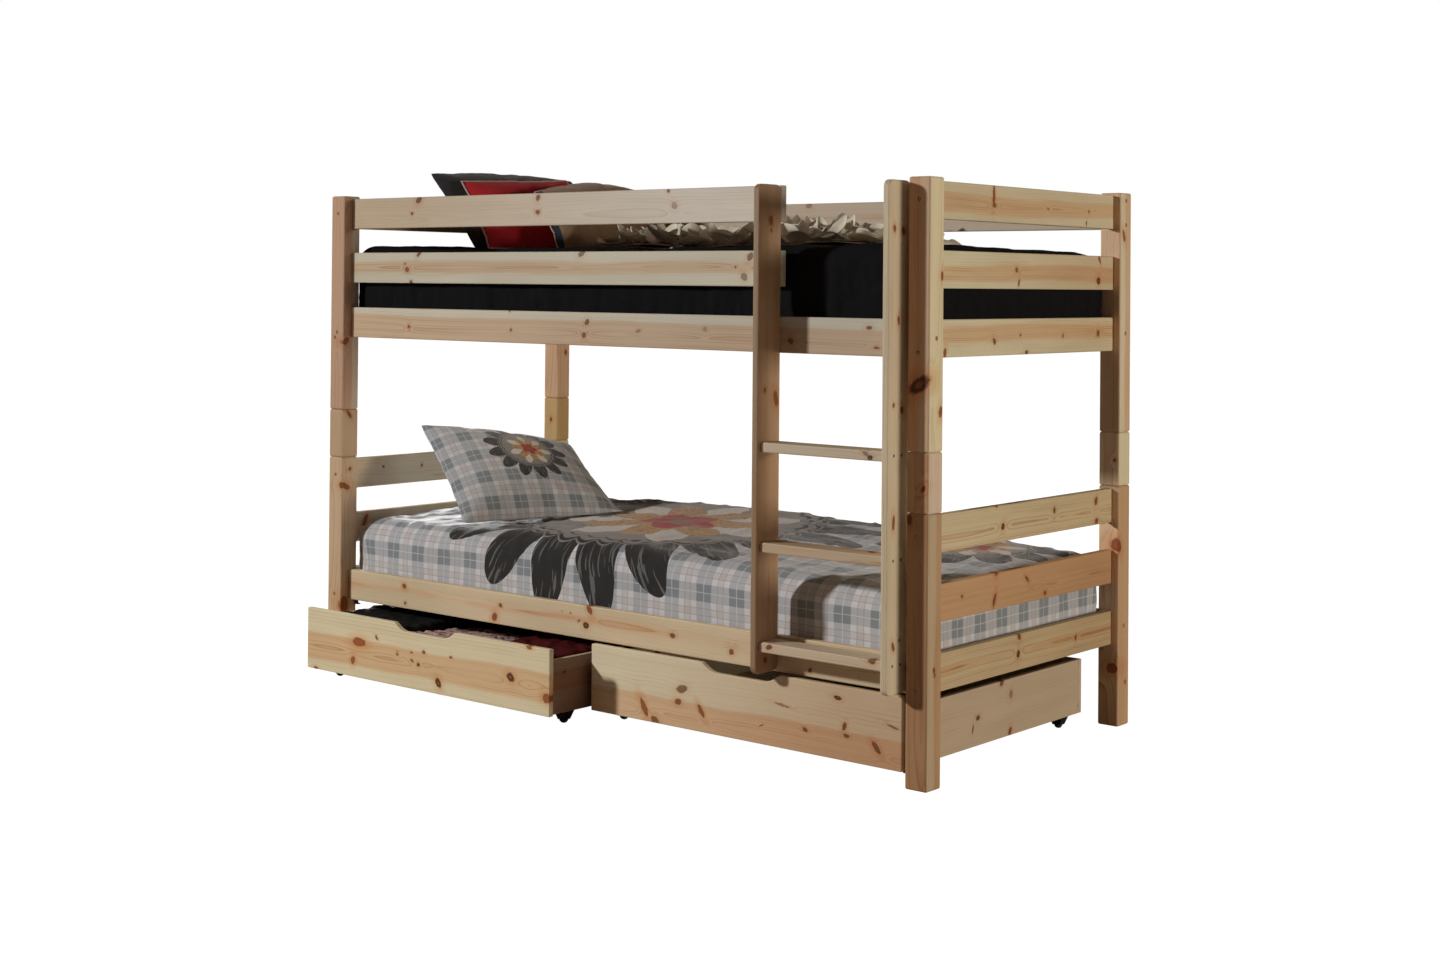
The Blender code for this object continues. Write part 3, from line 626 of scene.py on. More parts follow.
        (-0.3209, -0.009, None, 0.0045, 1, 0.0, 0.4, 0),
        (-0.3274, 0.0439, None, 0.004, 1, 0.0, 0, 0),
        (-0.0387, 0.0189, None, 0.0075, 1.2, 0.7, -0.2, 0),
        (-0.0491, -0.0164, None, 0.0075, 1.0, 0.0, 0.1, 0),
        (0.1405, -0.0013, None, 0.004, 2.2, 0.17, -0.7, 0),
        (0.3635, 0.0089, None, 0.006, 1.0, 1.05, -0.9, 0),
        (0.6306, -0.0148, None, 0.007, 1.3, -0.44, 0.6, 0),
        (0.8592, 0.0222, None, 0.0045, 2.0, 0.0, 0.2, 0),
        (0.8821, -0.0249, None, 0.0035, 2.2, 0.0, 0.3, 0),
    ],
}
EXTRA = {
    "guard_rail_front_top": {"contrast": 0.55},
    "lower_right_end_rail_bottom": {"contrast": 1.0, "ring": 0.0048},
    "lower_right_end_rail_top": {"contrast": 0.9, "ring": 0.0050},
    "lower_right_end_rail_middle": {"contrast": 0.7},
    "right_drawer_side_right": {"contrast": 0.45, "ring": 0.0028},
    "left_drawer_front": {"contrast": 0.7, "ring": 0.0052},
    "right_drawer_front": {"contrast": 0.6, "ring": 0.0052},
}


def plastic(name, colour, rough, wear=0.12):
    """Moulded plastic with a fine grain."""
    m, t, bsdf = new_material(name)
    tc = t.node("ShaderNodeTexCoord")
    n = t.noise(tc.outputs["Object"], 900.0, 3.0, 0.6)
    big = t.noise(tc.outputs["Object"], 60.0, 3.0, 0.5)
    bright = tuple(min(1.0, c * (1 + 4 * wear) + 0.01) for c in colour)
    t.link(t.mix(t.math("MULTIPLY", big, 0.6), colour, bright), bsdf.inputs["Base Color"])
    t.link(t.math("MULTIPLY_ADD", big, 0.18, rough), bsdf.inputs["Roughness"])
    bump = t.node("ShaderNodeBump")
    bump.inputs["Strength"].default_value = 0.18
    bump.inputs["Distance"].default_value = 0.0003
    t.link(n, bump.inputs["Height"])
    t.link(bump.outputs[0], bsdf.inputs["Normal"])
    return m


def wheel_material(name):
    """A caster wheel: black tyre, dark grey hub, by the distance from the axle."""
    lo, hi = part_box(name)
    centre = [(lo[k] + hi[k]) / 2 for k in range(3)]
    m, t, bsdf = new_material("wheel_" + name)
    tc = t.node("ShaderNodeTexCoord")
    local = t.vmath("SUBTRACT", tc.outputs["Object"], tuple(centre))
    sizes = [hi[k] - lo[k] for k in range(3)]
    axle = sizes.index(min(sizes))
    flat = [1.0, 1.0, 1.0]
    flat[axle] = 0.0
    r = t.vmath("LENGTH", t.mul_vec(local, tuple(flat)))
    outer = max(sizes) / 2
    tyre = t.smooth(r, outer * 0.66, outer * 0.72)
    dust = t.noise(tc.outputs["Object"], 160.0, 4.0, 0.6)
    rubber = t.mix(t.smooth(dust, 0.5, 0.75, 0.0, 0.5), lin(24, 24, 25), lin(62, 60, 58))
    hub = t.mix(t.smooth(dust, 0.45, 0.7, 0.0, 0.4), lin(40, 40, 42), lin(66, 66, 66))
    t.link(t.mix(tyre, hub, rubber), bsdf.inputs["Base Color"])
    t.link(t.math("MULTIPLY_ADD", tyre, 0.25, 0.42), bsdf.inputs["Roughness"])
    bump = t.node("ShaderNodeBump")
    bump.inputs["Strength"].default_value = 0.2
    bump.inputs["Distance"].default_value = 0.0003
    t.link(t.noise(tc.outputs["Object"], 700.0, 2.0, 0.5), bump.inputs["Height"])
    t.link(bump.outputs[0], bsdf.inputs["Normal"])
    return m


def add_casters(mat):
    """Below the drawer's panel the same solid is the casters' black housings."""
    t = Tree(mat.node_tree)
    bsdf = mat.node_tree.nodes["Principled BSDF"]
    tc = t.node("ShaderNodeTexCoord")
    sep = t.node("ShaderNodeSeparateXYZ")
    t.link(tc.outputs["Object"], sep.inputs[0])
    below = t.math("LESS_THAN", sep.outputs[2], 0.0398)
    wood = bsdf.inputs["Base Color"].links[0].from_socket
    grain = t.noise(tc.outputs["Object"], 90.0, 3.0, 0.5)
    black = t.mix(grain, lin(26, 26, 27), lin(44, 44, 45))
    t.link(t.mix(below, wood, black), bsdf.inputs["Base Color"])
    rough = bsdf.inputs["Roughness"].links[0].from_socket
    t.link(t.math("MULTIPLY_ADD", below, t.math("SUBTRACT", 0.42, rough), rough), bsdf.inputs["Roughness"])


def add_tapes(mat, lo, hi):
    """Two woven tapes over the slats' ends, in the slat base's own material."""
    t = Tree(mat.node_tree)
    bsdf = mat.node_tree.nodes["Principled BSDF"]
    tc = t.node("ShaderNodeTexCoord")
    sep = t.node("ShaderNodeSeparateXYZ")
    t.link(tc.outputs["Object"], sep.inputs[0])
    level = t.math("LESS_THAN", sep.outputs[2], (lo[2] + hi[2]) / 2)
    rib = t.math("ABSOLUTE", t.math("SINE", t.math("MULTIPLY", sep.outputs[1], math.pi / 0.0016)))
    tape = t.mix(rib, lin(214, 210, 200), lin(184, 178, 166))
    wood = bsdf.inputs["Base Color"].links[0].from_socket
    t.link(t.mix(level, wood, tape), bsdf.inputs["Base Color"])


def add_fade(mat, axis, a, b, start, end):
    """A correction fitted to the photograph: one colour factor at each end, wood and light together."""
    t = Tree(mat.node_tree)
    bsdf = mat.node_tree.nodes["Principled BSDF"]
    sep = t.node("ShaderNodeSeparateXYZ")
    t.link(t.node("ShaderNodeTexCoord").outputs["Object"], sep.inputs[0])
    f = t.node("ShaderNodeMapRange")
    f.interpolation_type = "SMOOTHSTEP"
    f.inputs["From Min"].default_value = a
    f.inputs["From Max"].default_value = b
    t.link(sep.outputs[axis], f.inputs["Value"])
    m = t.node("ShaderNodeMix")
    m.data_type, m.blend_type = "RGBA", "MULTIPLY"
    m.clamp_result = False
    m.inputs[0].default_value = 1.0
    t.link(bsdf.inputs["Base Color"].links[0].from_socket, m.inputs[6])
    t.link(t.mix(f.outputs["Result"], start, end), m.inputs[7])
    t.link(m.outputs[2], bsdf.inputs["Base Color"])


# Painted light on four end rails: lighter towards the front end, darker towards the back.
END_RAIL_PAINTED_LIGHT = (1, (1.08, 1.12, 1.15), (0.95, 0.92, 0.88))
FADE = {
    # board: axis, fitted factor at the low end and at the high end, wood tone and painted light together; FADE = {}
    # leaves them out
    "guard_rail_front_top": (0, (0.97, 0.91, 0.83), (1.17, 1.28, 1.45)),
    "upper_side_rail_front": (0, (1.12, 1.12, 1.11), (0.92, 0.92, 0.93)),
    "right_drawer_front": (0, (1.10, 1.12, 1.15), (0.84, 0.71, 0.66)),
    "upper_right_end_rail_middle": (1, (1.11, 1.19, 1.22), (0.95, 0.86, 0.81)),
    "upper_right_end_rail_bottom": END_RAIL_PAINTED_LIGHT,
    "lower_right_end_rail_top": END_RAIL_PAINTED_LIGHT,
    "lower_right_end_rail_middle": END_RAIL_PAINTED_LIGHT,
    "lower_right_end_rail_bottom": END_RAIL_PAINTED_LIGHT,
}
WOODEN = [n for n in nodes if not any(w in n for w in ("mattress", "pillow", "wheel"))]
for k, n in enumerate(sorted(WOODEN)):
    lo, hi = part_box(n)
    extra = dict(EXTRA.get(n, {}))
    if n.endswith("drawer_bottom"):
        extra = {"knots": [], "contrast": 0.5}
    if "slat" in n:
        extra = {"knots": [], "contrast": 0.6}
    extra.setdefault("knots", KNOTS.get(n))
    mat = pine_material(
        n, grain_of(n), lo, hi, tint=WOOD_AND_SHADE_TINT.get(n, USUAL), front=FRONT.get(n), log=LOG.get(n), seed=100 + k, **extra
    )
    if n.endswith("drawer_bottom"):
        add_casters(mat)
    if n.endswith("slat_base"):
        add_tapes(mat, lo, hi)
    if n in FADE:
        axis, start, end = FADE[n]
        add_fade(mat, axis, lo[axis], hi[axis], start, end)
    for s in nodes[n].material_slots:
        s.material = mat
for n in nodes:
    if "wheel" in n:
        mat = wheel_material(n)
        for s in nodes[n].material_slots:
            s.material = mat

# ---------------------------------------------------------------- mesh helpers
BODY = "bed_frame"


def mesh_object(name, verts, faces, uvs=None, smooth=True, materials=()):
    """An object from vertex and face lists; `uvs` is one (u, v) per vertex."""
    me = bpy.data.meshes.new(name)
    me.from_pydata([tuple(map(float, v)) for v in verts], [], [tuple(map(int, f)) for f in faces])
    if uvs is not None:
        layer = me.uv_layers.new(name="cloth")
        loops = np.empty(len(me.loops), dtype=np.int32)
        me.loops.foreach_get("vertex_index", loops)
        layer.data.foreach_set("uv", np.asarray(uvs, dtype=np.float32)[loops].ravel())
    me.validate()
    me.update()
    if smooth:
        me.shade_smooth()
    o = bpy.data.objects.new(name, me)
    bpy.context.scene.collection.objects.link(o)
    for m in materials:
        me.materials.append(m)
    return o


def fractal(p, scale, octaves=3, seed=0.0):
    """Smooth noise in about -1..1 at each row of p."""
    out = np.empty(len(p))
    for i, q in enumerate(p):
        v = Vector((q[0] * scale + seed, q[1] * scale - seed * 0.7, q[2] * scale + 3.1 * seed))
        out[i] = noise.fractal(v, 0.9, 2.1, octaves, noise_basis="PERLIN_ORIGINAL")
    return out


def grid_normals(pts):
    """Unit normals of a (rows, columns, 3) grid, from its own differences."""
    du = np.gradient(pts, axis=0)
    dv = np.gradient(pts, axis=1)
    n = np.cross(du, dv)
    return n / np.maximum(np.linalg.norm(n, axis=2, keepdims=True), 1e-9)


def quilt(name, lo, hi, bottom, radius, thick, step, relief, crest, materials, corner=4.0):
    """A filled quilt laid over a mattress: its top, rounded sides and an inner face.

    lo and hi are its outer corners in bed coordinates; it hangs down to `bottom`.
    relief(u, v, d) gives the swell along the normal, crest(x, y) the height of the top."""
    cx, cy = (lo[0] + hi[0]) / 2, (lo[1] + hi[1]) / 2
    a, b = (hi[0] - lo[0]) / 2 - radius, (hi[1] - lo[1]) / 2 - radius
    drop = hi[2] - bottom
    reach = radius * math.pi / 2 + max(drop - radius, 0.0)
    nu, nv = int(2 * (a + reach) / step), int(2 * (b + reach) / step)
    s = np.linspace(-(a + reach), a + reach, nu)[:, None] * np.ones((1, nv))
    t = np.ones((nu, 1)) * np.linspace(-(b + reach), b + reach, nv)[None, :]
    p, q = np.maximum(np.abs(s) - a, 0), np.maximum(np.abs(t) - b, 0)
    d = np.maximum(p, q)
    norm = np.maximum((p ** corner + q ** corner) ** (1 / corner), 1e-9)
    out = np.where(d < radius * math.pi / 2, radius * np.sin(np.minimum(d / radius, math.pi / 2)), radius)
    down = np.where(
        d < radius * math.pi / 2,
        radius * (1 - np.cos(np.minimum(d / radius, math.pi / 2))),
        radius + d - radius * math.pi / 2,
    )
    x = cx + np.sign(s) * (np.minimum(np.abs(s), a) + out * p / norm)
    y = cy + np.sign(t) * (np.minimum(np.abs(t), b) + out * q / norm)
    top = crest(x, y)
    z = bottom + (top - bottom) * (1 - down / drop)
    pts = np.stack([x, y, z], axis=2)
    n = grid_normals(pts)
    pts = pts + n * relief(s, t, d, pts)[..., None]
    # the swell never passes the space between the rails and posts
    pts[..., 0] = np.clip(pts[..., 0], lo[0], hi[0])
    pts[..., 1] = np.clip(pts[..., 1], lo[1], hi[1])
    beside = (pts[..., 0] < 0.0605) | (pts[..., 0] > 2.0295)
    near_post = beside & (hi[0] > 2.0)
    pts[..., 1] = np.where(near_post, np.clip(pts[..., 1], 0.0645, 0.9555), pts[..., 1])
    inner = pts - grid_normals(pts) * thick
    uv = np.stack([s, t], axis=2).reshape(-1, 2)
    verts = np.concatenate([pts.reshape(-1, 3), inner.reshape(-1, 3)]) + np.array([SX, SY, 0])
    idx = np.arange(nu * nv).reshape(nu, nv)
    f = np.stack([idx[:-1, :-1], idx[1:, :-1], idx[1:, 1:], idx[:-1, 1:]], axis=2).reshape(-1, 4)
    g = (f + nu * nv)[:, ::-1]
    rim = np.concatenate([idx[:, 0], idx[-1, 1:], idx[-2::-1, -1], idx[0, -2:0:-1]])
    nxt = np.roll(rim, -1)
    r = np.stack([rim, rim + nu * nv, nxt + nu * nv, nxt], axis=1)
    return mesh_object(name, verts, np.concatenate([f, g, r]), np.concatenate([uv, uv]), materials=materials)


FLAT = {}


def sewn_case(name, w, h, nx, ny, pressure, seed, frames=26):
    """An empty pillow case, two panels sewn round the edge, blown up by a cloth
    simulation.  Returns its points, faces, flat coordinates and seam loop."""
    rnd = random.Random(seed)
    xs = np.linspace(-w / 2, w / 2, nx)
    ys = np.linspace(-h / 2, h / 2, ny)
    front = {}
    verts, uvs = [], []
    for layer in (1, -1):
        for i, x in enumerate(xs):
            for j, y in enumerate(ys):
                edge = i in (0, nx - 1) or j in (0, ny - 1)
                if layer == -1 and edge:
                    front[(i, j, -1)] = front[(i, j, 1)]
                    continue
                front[(i, j, layer)] = len(verts)
                puff = 0.0 if edge else 0.006 + 0.004 * rnd.random()
                verts.append((x, y, layer * puff))
                uvs.append((x, y) if layer == 1 else (x + 0.37, y + 0.21))
    faces = []
    for layer in (1, -1):
        for i in range(nx - 1):
            for j in range(ny - 1):
                f = [front[(i, j, layer)], front[(i + 1, j, layer)], front[(i + 1, j + 1, layer)], front[(i, j + 1, layer)]]
                faces.append(f if layer == 1 else f[::-1])
    seam = (
        [front[(i, 0, 1)] for i in range(nx)] + [front[(nx - 1, j, 1)] for j in range(1, ny)]
        + [front[(i, ny - 1, 1)] for i in range(nx - 2, -1, -1)] + [front[(0, j, 1)] for j in range(ny - 2, 0, -1)]
    )
    o = mesh_object(name, verts, faces, uvs)
    pts = np.array(verts)
    FLAT[name] = pts[:, :2].copy()
    cloth = o.modifiers.new("cloth", "CLOTH")
    st = cloth.settings
    st.quality = 7
    st.mass = 0.15
    st.air_damping = 3.0
    st.tension_stiffness = 22
    st.compression_stiffness = 22
    st.shear_stiffness = 6
    st.bending_stiffness = 0.35
    st.use_pressure = True
    st.uniform_pressure_force = pressure
    st.effector_weights.gravity = 0.0
    cloth.collision_settings.use_collision = False
    cloth.point_cache.frame_start = 1
    cloth.point_cache.frame_end = frames + 5
    return o, cloth, np.array(uvs), faces, seam
    u, v = pts[:, 0] / (w / 2), pts[:, 1] / (h / 2)
    pts[:, 2] = np.sign(pts[:, 2]) * 0.07 * np.clip((1 - u ** 4) * (1 - v ** 4), 0, 1) ** 0.5
    o.data.vertices.foreach_set("co", pts.astype(np.float32).ravel())
    return o, None, np.array(uvs), faces, seam


def read_points(o):
    dg = bpy.context.evaluated_depsgraph_get()
    me = o.evaluated_get(dg).to_mesh()
    co = np.empty(len(me.vertices) * 3, dtype=np.float32)
    me.vertices.foreach_get("co", co)
    o.evaluated_get(dg).to_mesh_clear()
    return co.reshape(-1, 3).astype(float)


def place_case(pts, flat, size, corners, front, back, sag=0.0):
    """Lays a blown-up case into four corners (top left, top right, bottom right, bottom
    left, in bed coordinates); front and back are how far it swells to each side."""
    w, h = size
    p = pts.copy()
    p -= (p.max(0) + p.min(0)) / 2
    ext = (p.max(0) - p.min(0)) / 2
    # a filled case keeps most of its cut outline; the rest is the simulated pull of the seams
    u = 0.28 * (p[:, 0] / ext[0] + 1) / 2 + 0.72 * (flat[:, 0] / w + 0.5)
    v = 0.28 * (p[:, 1] / ext[1] + 1) / 2 + 0.72 * (flat[:, 1] / h + 0.5)
    tl, tr, br, bl = (np.array(c) for c in corners)
    u1, v1 = u[:, None], v[:, None]
    mid = (1 - v1) * ((1 - u1) * bl + u1 * br) + v1 * ((1 - u1) * tl + u1 * tr)
    e1 = (1 - v1) * (br - bl) + v1 * (tr - tl)
    e2 = (1 - u1) * (tl - bl) + u1 * (tr - br)
    n = np.cross(e1, e2)
    n /= np.linalg.norm(n, axis=1, keepdims=True)
    t = p[:, 2] / ext[2]
    off = np.where(t > 0, t * front, t * back)
    mid = mid + n * off[:, None]
    mid[:, 2] -= sag * np.sin(math.pi * u) * v
    return mid


# ---------------------------------------------------------------- cloth materials
def cloth_uv(t):
    uv = t.node("ShaderNodeUVMap", uv_map="cloth")
    return uv.outputs[0]


def weave_bump(t, bsdf, uv, pitch=0.0011, strength=0.25, extra=None, wrinkle=0.0):
    """Threads of a plain weave, with loose slubs."""
    sep = t.node("ShaderNodeSeparateXYZ")
    t.link(uv, sep.inputs[0])
    k = math.pi / pitch
    a = t.math("ABSOLUTE", t.math("SINE", t.math("MULTIPLY", sep.outputs[0], k)))
    b = t.math("ABSOLUTE", t.math("SINE", t.math("MULTIPLY", sep.outputs[1], k)))
    h = t.math("MULTIPLY_ADD", t.noise(t.mul_vec(uv, (900, 900, 1)), 1.0, 1.0), 0.5, t.math("MAXIMUM", a, b))
    if wrinkle:
        w = t.noise(t.mul_vec(uv, (26, 26, 1)), 1.0, 4.0, 0.6)
        h = t.math("MULTIPLY_ADD", w, wrinkle, h)
    bump = t.node("ShaderNodeBump")
    bump.inputs["Strength"].default_value = strength
    bump.inputs["Distance"].default_value = 0.0006
    t.link(h, bump.inputs["Height"])
    t.link(bump.outputs[0], bsdf.inputs["Normal"])
    return h


def band(t, x, period, start, width):
    """1 where x, wrapped to period, lies in [start, start + width)."""
    f = t.math("FRACT", t.math("DIVIDE", t.math("SUBTRACT", x, start), period))
    return t.math("LESS_THAN", f, width / period)


def plaid_colour(t, uv, period=0.106, gain=1.0):
    """Checks of grey-green on white and a pinkish beige with fine crossing lines."""
    wob = t.noise(t.mul_vec(uv, (7, 7, 1)), 1.0, 2.0, out="Color")
    sub = t.vmath("SUBTRACT", wob, (0.5, 0.5, 0.5))
    uv2 = t.vmath("ADD", uv, t.mul_vec(sub, (0.006, 0.006, 0)))
    sep = t.node("ShaderNodeSeparateXYZ")
    t.link(uv2, sep.inputs[0])
    u, v = sep.outputs[0], sep.outputs[1]
    dark_u, dark_v = band(t, u, period, 0.0, period * 0.46), band(t, v, period, 0.0, period * 0.46)
    both = t.math("MULTIPLY", dark_u, dark_v)
    one = t.math("SUBTRACT", t.math("ADD", dark_u, dark_v), t.math("MULTIPLY", both, 2.0))
    warm_u, warm_v = band(t, u, period, period * 0.63, period * 0.19), band(t, v, period, period * 0.63, period * 0.19)
    light = t.math("MULTIPLY", t.math("MULTIPLY_ADD", warm_v, 0.4, 0.6), warm_u)
    light = t.math("MAXIMUM", light, t.math("MULTIPLY", warm_v, 0.6))
    g = gain
    white = tuple(c * g for c in lin(224, 228, 234))
    beige = tuple(c * g for c in lin(206, 203, 206))
    grey = tuple(c * g for c in lin(144, 155, 164))
    mid = tuple(c * g for c in lin(184, 192, 200))
    col = t.mix(light, white, beige)
    col = t.mix(t.math("MULTIPLY", one, 0.82), col, mid)
    col = t.mix(both, col, grey)
    for where in (0.63, 0.81):
        thin = t.math("MAXIMUM", band(t, u, period, period * where, 0.0024), band(t, v, period, period * where, 0.0024))
        col = t.mix(t.math("MULTIPLY", thin, 0.42), col, tuple(c * g for c in lin(142, 139, 140)))
    line = t.math("MAXIMUM", band(t, u, period, period * 0.22, 0.0026), band(t, v, period, period * 0.22, 0.0026))
    col = t.mix(t.math("MULTIPLY", line, 0.62), col, tuple(c * g for c in lin(232, 231, 229)))
    return col, u, v


def rosette(t, u, v, cx, cy, radius, petals, turn, depth=0.30, power=1.0):
    """(mask, polar radius over edge, angle) of a flower of pointed petals."""
    dx, dy = t.math("SUBTRACT", u, cx), t.math("SUBTRACT", v, cy)
    r = t.math("SQRT", t.math("ADD", t.math("MULTIPLY", dx, dx), t.math("MULTIPLY", dy, dy)))
    ang = t.math("ARCTAN2", dy, dx)
    lobe = t.math("ABSOLUTE", t.math("COSINE", t.math("MULTIPLY_ADD", ang, petals / 2.0, turn)))
    if power != 1.0:
        lobe = t.math("POWER", lobe, power)
    edge = t.math("MULTIPLY", t.math("MULTIPLY_ADD", lobe, depth, 1.0 - depth), radius)
    rel = t.math("DIVIDE", r, edge)
    return t.math("LESS_THAN", rel, 1.0), rel, ang


def over(t, col, mask, paint):
    return t.mix(mask, col, paint)


CHAR = lin(44, 45, 46)
STREAK = lin(138, 140, 140)
FIELD = lin(146, 142, 139)
TAN = lin(212, 166, 104)
TAN_DARK = lin(142, 104, 62)
RED = lin(178, 38, 42)
CREAM = lin(232, 228, 222)


def flower(t, col, u, v, cx, cy, size, petals, turn):
    """One printed rosette: streaky dark petals round a grey field, cream and ochre petals
    and a red heart."""
    m, rel, ang = rosette(t, u, v, cx, cy, size, petals, turn, 0.36, 0.8)
    streaks = t.node("ShaderNodeTexNoise", noise_dimensions="2D")
    comb = t.node("ShaderNodeCombineXYZ")
    t.link(t.math("MULTIPLY", rel, 4.0), comb.inputs[0])
    t.link(t.math("MULTIPLY", ang, 52.0), comb.inputs[1])
    t.link(comb.outputs[0], streaks.inputs["Vector"])
    streaks.inputs["Scale"].default_value = 1.0
    st = t.math("GREATER_THAN", streaks.outputs["Fac"], 0.60)
    col = over(t, col, m, t.mix(t.math("MULTIPLY", st, 0.55), CHAR, STREAK))
    disc, drel, _ = rosette(t, u, v, cx, cy, size * 0.68, petals * 2, turn, 0.05)
    col = over(t, col, disc, FIELD)
    for inner, outer in ((0.955, 0.985), (0.87, 0.90)):
        ring = t.math("MULTIPLY", t.math("GREATER_THAN", drel, inner), t.math("LESS_THAN", drel, outer))
        col = over(t, col, ring, CHAR)
    grain = t.noise(t.mul_vec(cloth_uv(t), (60, 260, 1)), 1.0, 2.0)
    fur = t.smooth(grain, 0.44, 0.64)
    cream, _, _ = rosette(t, u, v, cx + size * 0.05, cy - size * 0.03, size * 0.53, 7, turn + 0.2, 0.62, 1.5)
    col = over(t, col, cream, t.mix(t.math("MULTIPLY", fur, 0.35), CREAM, FIELD))
    ochre, _, _ = rosette(t, u, v, cx + size * 0.05, cy - size * 0.03, size * 0.42, 7, turn + 1.77, 0.55, 1.1)
    col = over(t, col, ochre, t.mix(fur, TAN, TAN_DARK))
    heart, hrel, _ = rosette(t, u, v, cx + size * 0.05, cy - size * 0.03, size * 0.19, 5, turn, 0.35)
    col = over(t, col, heart, t.mix(t.smooth(hrel, 0.25, 0.45, 1.0, 0.0), RED, TAN_DARK))
    return col


def bedding_material(name, flowers, gain=1.0):
    m, t, bsdf = new_material(name)
    uv = cloth_uv(t)
    col, u, v = plaid_colour(t, uv, gain=gain)
    for f in flowers:
        col = flower(t, col, u, v, *f)
    speck = t.noise(t.mul_vec(uv, (420, 420, 1)), 1.0, 2.0)
    col = t.mix(t.math("MULTIPLY", speck, 0.16), col, (0.2, 0.2, 0.2), "MULTIPLY")
    t.link(col, bsdf.inputs["Base Color"])
    bsdf.inputs["Roughness"].default_value = 0.86
    bsdf.inputs["Specular IOR Level"].default_value = 0.25
    bsdf.inputs["Sheen Weight"].default_value = 0.25
    bsdf.inputs["Sheen Roughness"].default_value = 0.5
    weave_bump(t, bsdf, uv, 0.0010, 0.2, wrinkle=1.6)
    return m


def plain_cloth(name, base, vary, rough=0.88, pitch=0.0014, sheen=0.3, scale=30.0, strength=0.35, wrinkle=2.0):
    m, t, bsdf = new_material(name)
    uv = cloth_uv(t)
    n = t.noise(t.mul_vec(uv, (scale, scale, 1)), 1.0, 3.0, 0.6)
    fine = t.noise(t.mul_vec(uv, (700, 700, 1)), 1.0, 2.0)
    col = t.mix(n, base, vary)
    col = t.mix(t.math("MULTIPLY", fine, 0.3), col, (0.25, 0.25, 0.25), "MULTIPLY")
    t.link(col, bsdf.inputs["Base Color"])
    bsdf.inputs["Roughness"].default_value = rough
    bsdf.inputs["Specular IOR Level"].default_value = 0.2
    bsdf.inputs["Sheen Weight"].default_value = sheen
    weave_bump(t, bsdf, uv, pitch, strength, wrinkle=wrinkle)
    return m


# ---------------------------------------------------------------- lower bed
def lower_crest(x, y):
    """Height of the lower quilt's top."""
    base = 0.462 + 0.026 * np.clip((y - 0.06) / 0.9, 0, 1) - 0.018 * np.clip((x - 1.2) / 0.85, 0, 1)
    base = base - 0.009 * np.clip((0.80 - x) / 0.5, 0, 1)
    return base + 0.010 * np.exp(-(((x - 0.95) / 0.55) ** 2) - ((y - 0.62) / 0.3) ** 2)


def lower_relief(s, t, d, pts):
    flat = np.stack([s, t, np.zeros_like(s)], axis=2).reshape(-1, 3)
    big = fractal(flat, 2.6, 2, 4.0).reshape(s.shape)
    mid = fractal(flat * np.array([1.0, 1.7, 1.0]), 7.0, 3, 9.0).reshape(s.shape)
    crease = fractal(flat * np.array([1.0, 0.55, 1.0]), 9.0, 2, 21.0).reshape(s.shape)
    ridge = (1 - np.abs(crease) * 2.4).clip(0, 1) ** 3
    edge = np.clip(d / 0.12, 0, 1)
    return 0.007 * big * (1 - 0.5 * edge) + 0.0032 * mid + 0.0050 * ridge * (1 - 0.65 * edge) - 0.004 * edge


def upper_crest(x, y):
    """Height of the upper quilt's top."""
    wave = 0.004 * np.sin(x * 9.0 + 0.6) + 0.003 * np.sin(x * 21.0)
    side = 0.012 * np.clip((0.96 - y) / 0.10, 0, 1) - 0.012
    left = 0.006 * np.clip((0.5 - x) / 0.4, 0, 1)
    right = 0.004 * np.clip((x - 1.62) / 0.12, 0, 1)
    return 1.2640 + wave + side + left + right + 0.0040


def upper_relief(s, t, d, pts):
    flat = np.stack([s, t, np.zeros_like(s)], axis=2).reshape(-1, 3)
    big = fractal(flat, 2.4, 2, 14.0).reshape(s.shape)
    mid = fractal(flat, 8.0, 3, 3.0).reshape(s.shape)
    along = np.where(np.abs(t) > np.abs(s) - 0.55, s, t)
    drape = np.stack([along * 1.0, d * 0.35, np.zeros_like(s)], axis=2).reshape(-1, 3)
    folds = fractal(drape, 11.0, 3, 31.0).reshape(s.shape)
    creases = (1 - np.abs(fractal(drape, 17.0, 2, 52.0).reshape(s.shape)) * 3.2).clip(0, 1) ** 2
    pucker = np.sin(along * math.pi / 0.0085 + 5.0 * folds) * np.exp(-(((d - 0.075) / 0.016) ** 2))
    edge = np.clip((d - 0.03) / 0.06, 0, 1)
    return 0.005 * big * (1 - edge) + 0.003 * mid + edge * (0.0045 * folds - 0.005 * creases) + 0.0009 * pucker - 0.002 * edge


step = 0.0095
quilt_mat = bedding_material(
    "quilt_cotton",
    ((-0.14, 0.03, 0.66, 19, 0.3), (0.72, 0.24, 0.26, 11, 0.9)),
)
lower_quilt = quilt(
    "lower_quilt", (0.0445, 0.0595, 0), (2.0455, 0.9605, 0.470), 0.2950, 0.075, 0.016, step,
    lower_relief, lower_crest, [quilt_mat],
)
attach(lower_quilt, BODY)
black_quilt_mat = plain_cloth("black_quilt_cotton", lin(24, 25, 29), lin(16, 17, 20), pitch=0.0016, sheen=0.0, strength=0.8, wrinkle=5.0)
black_quilt_mat.node_tree.nodes["Principled BSDF"].inputs["Specular IOR Level"].default_value = 0.14
upper_quilt = quilt(
    "upper_quilt", (0.0445, 0.0595, 0), (2.0455, 0.9605, 1.262), 1.0800, 0.045, 0.012, step,
    upper_relief, upper_crest, [black_quilt_mat],
)
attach(upper_quilt, BODY)


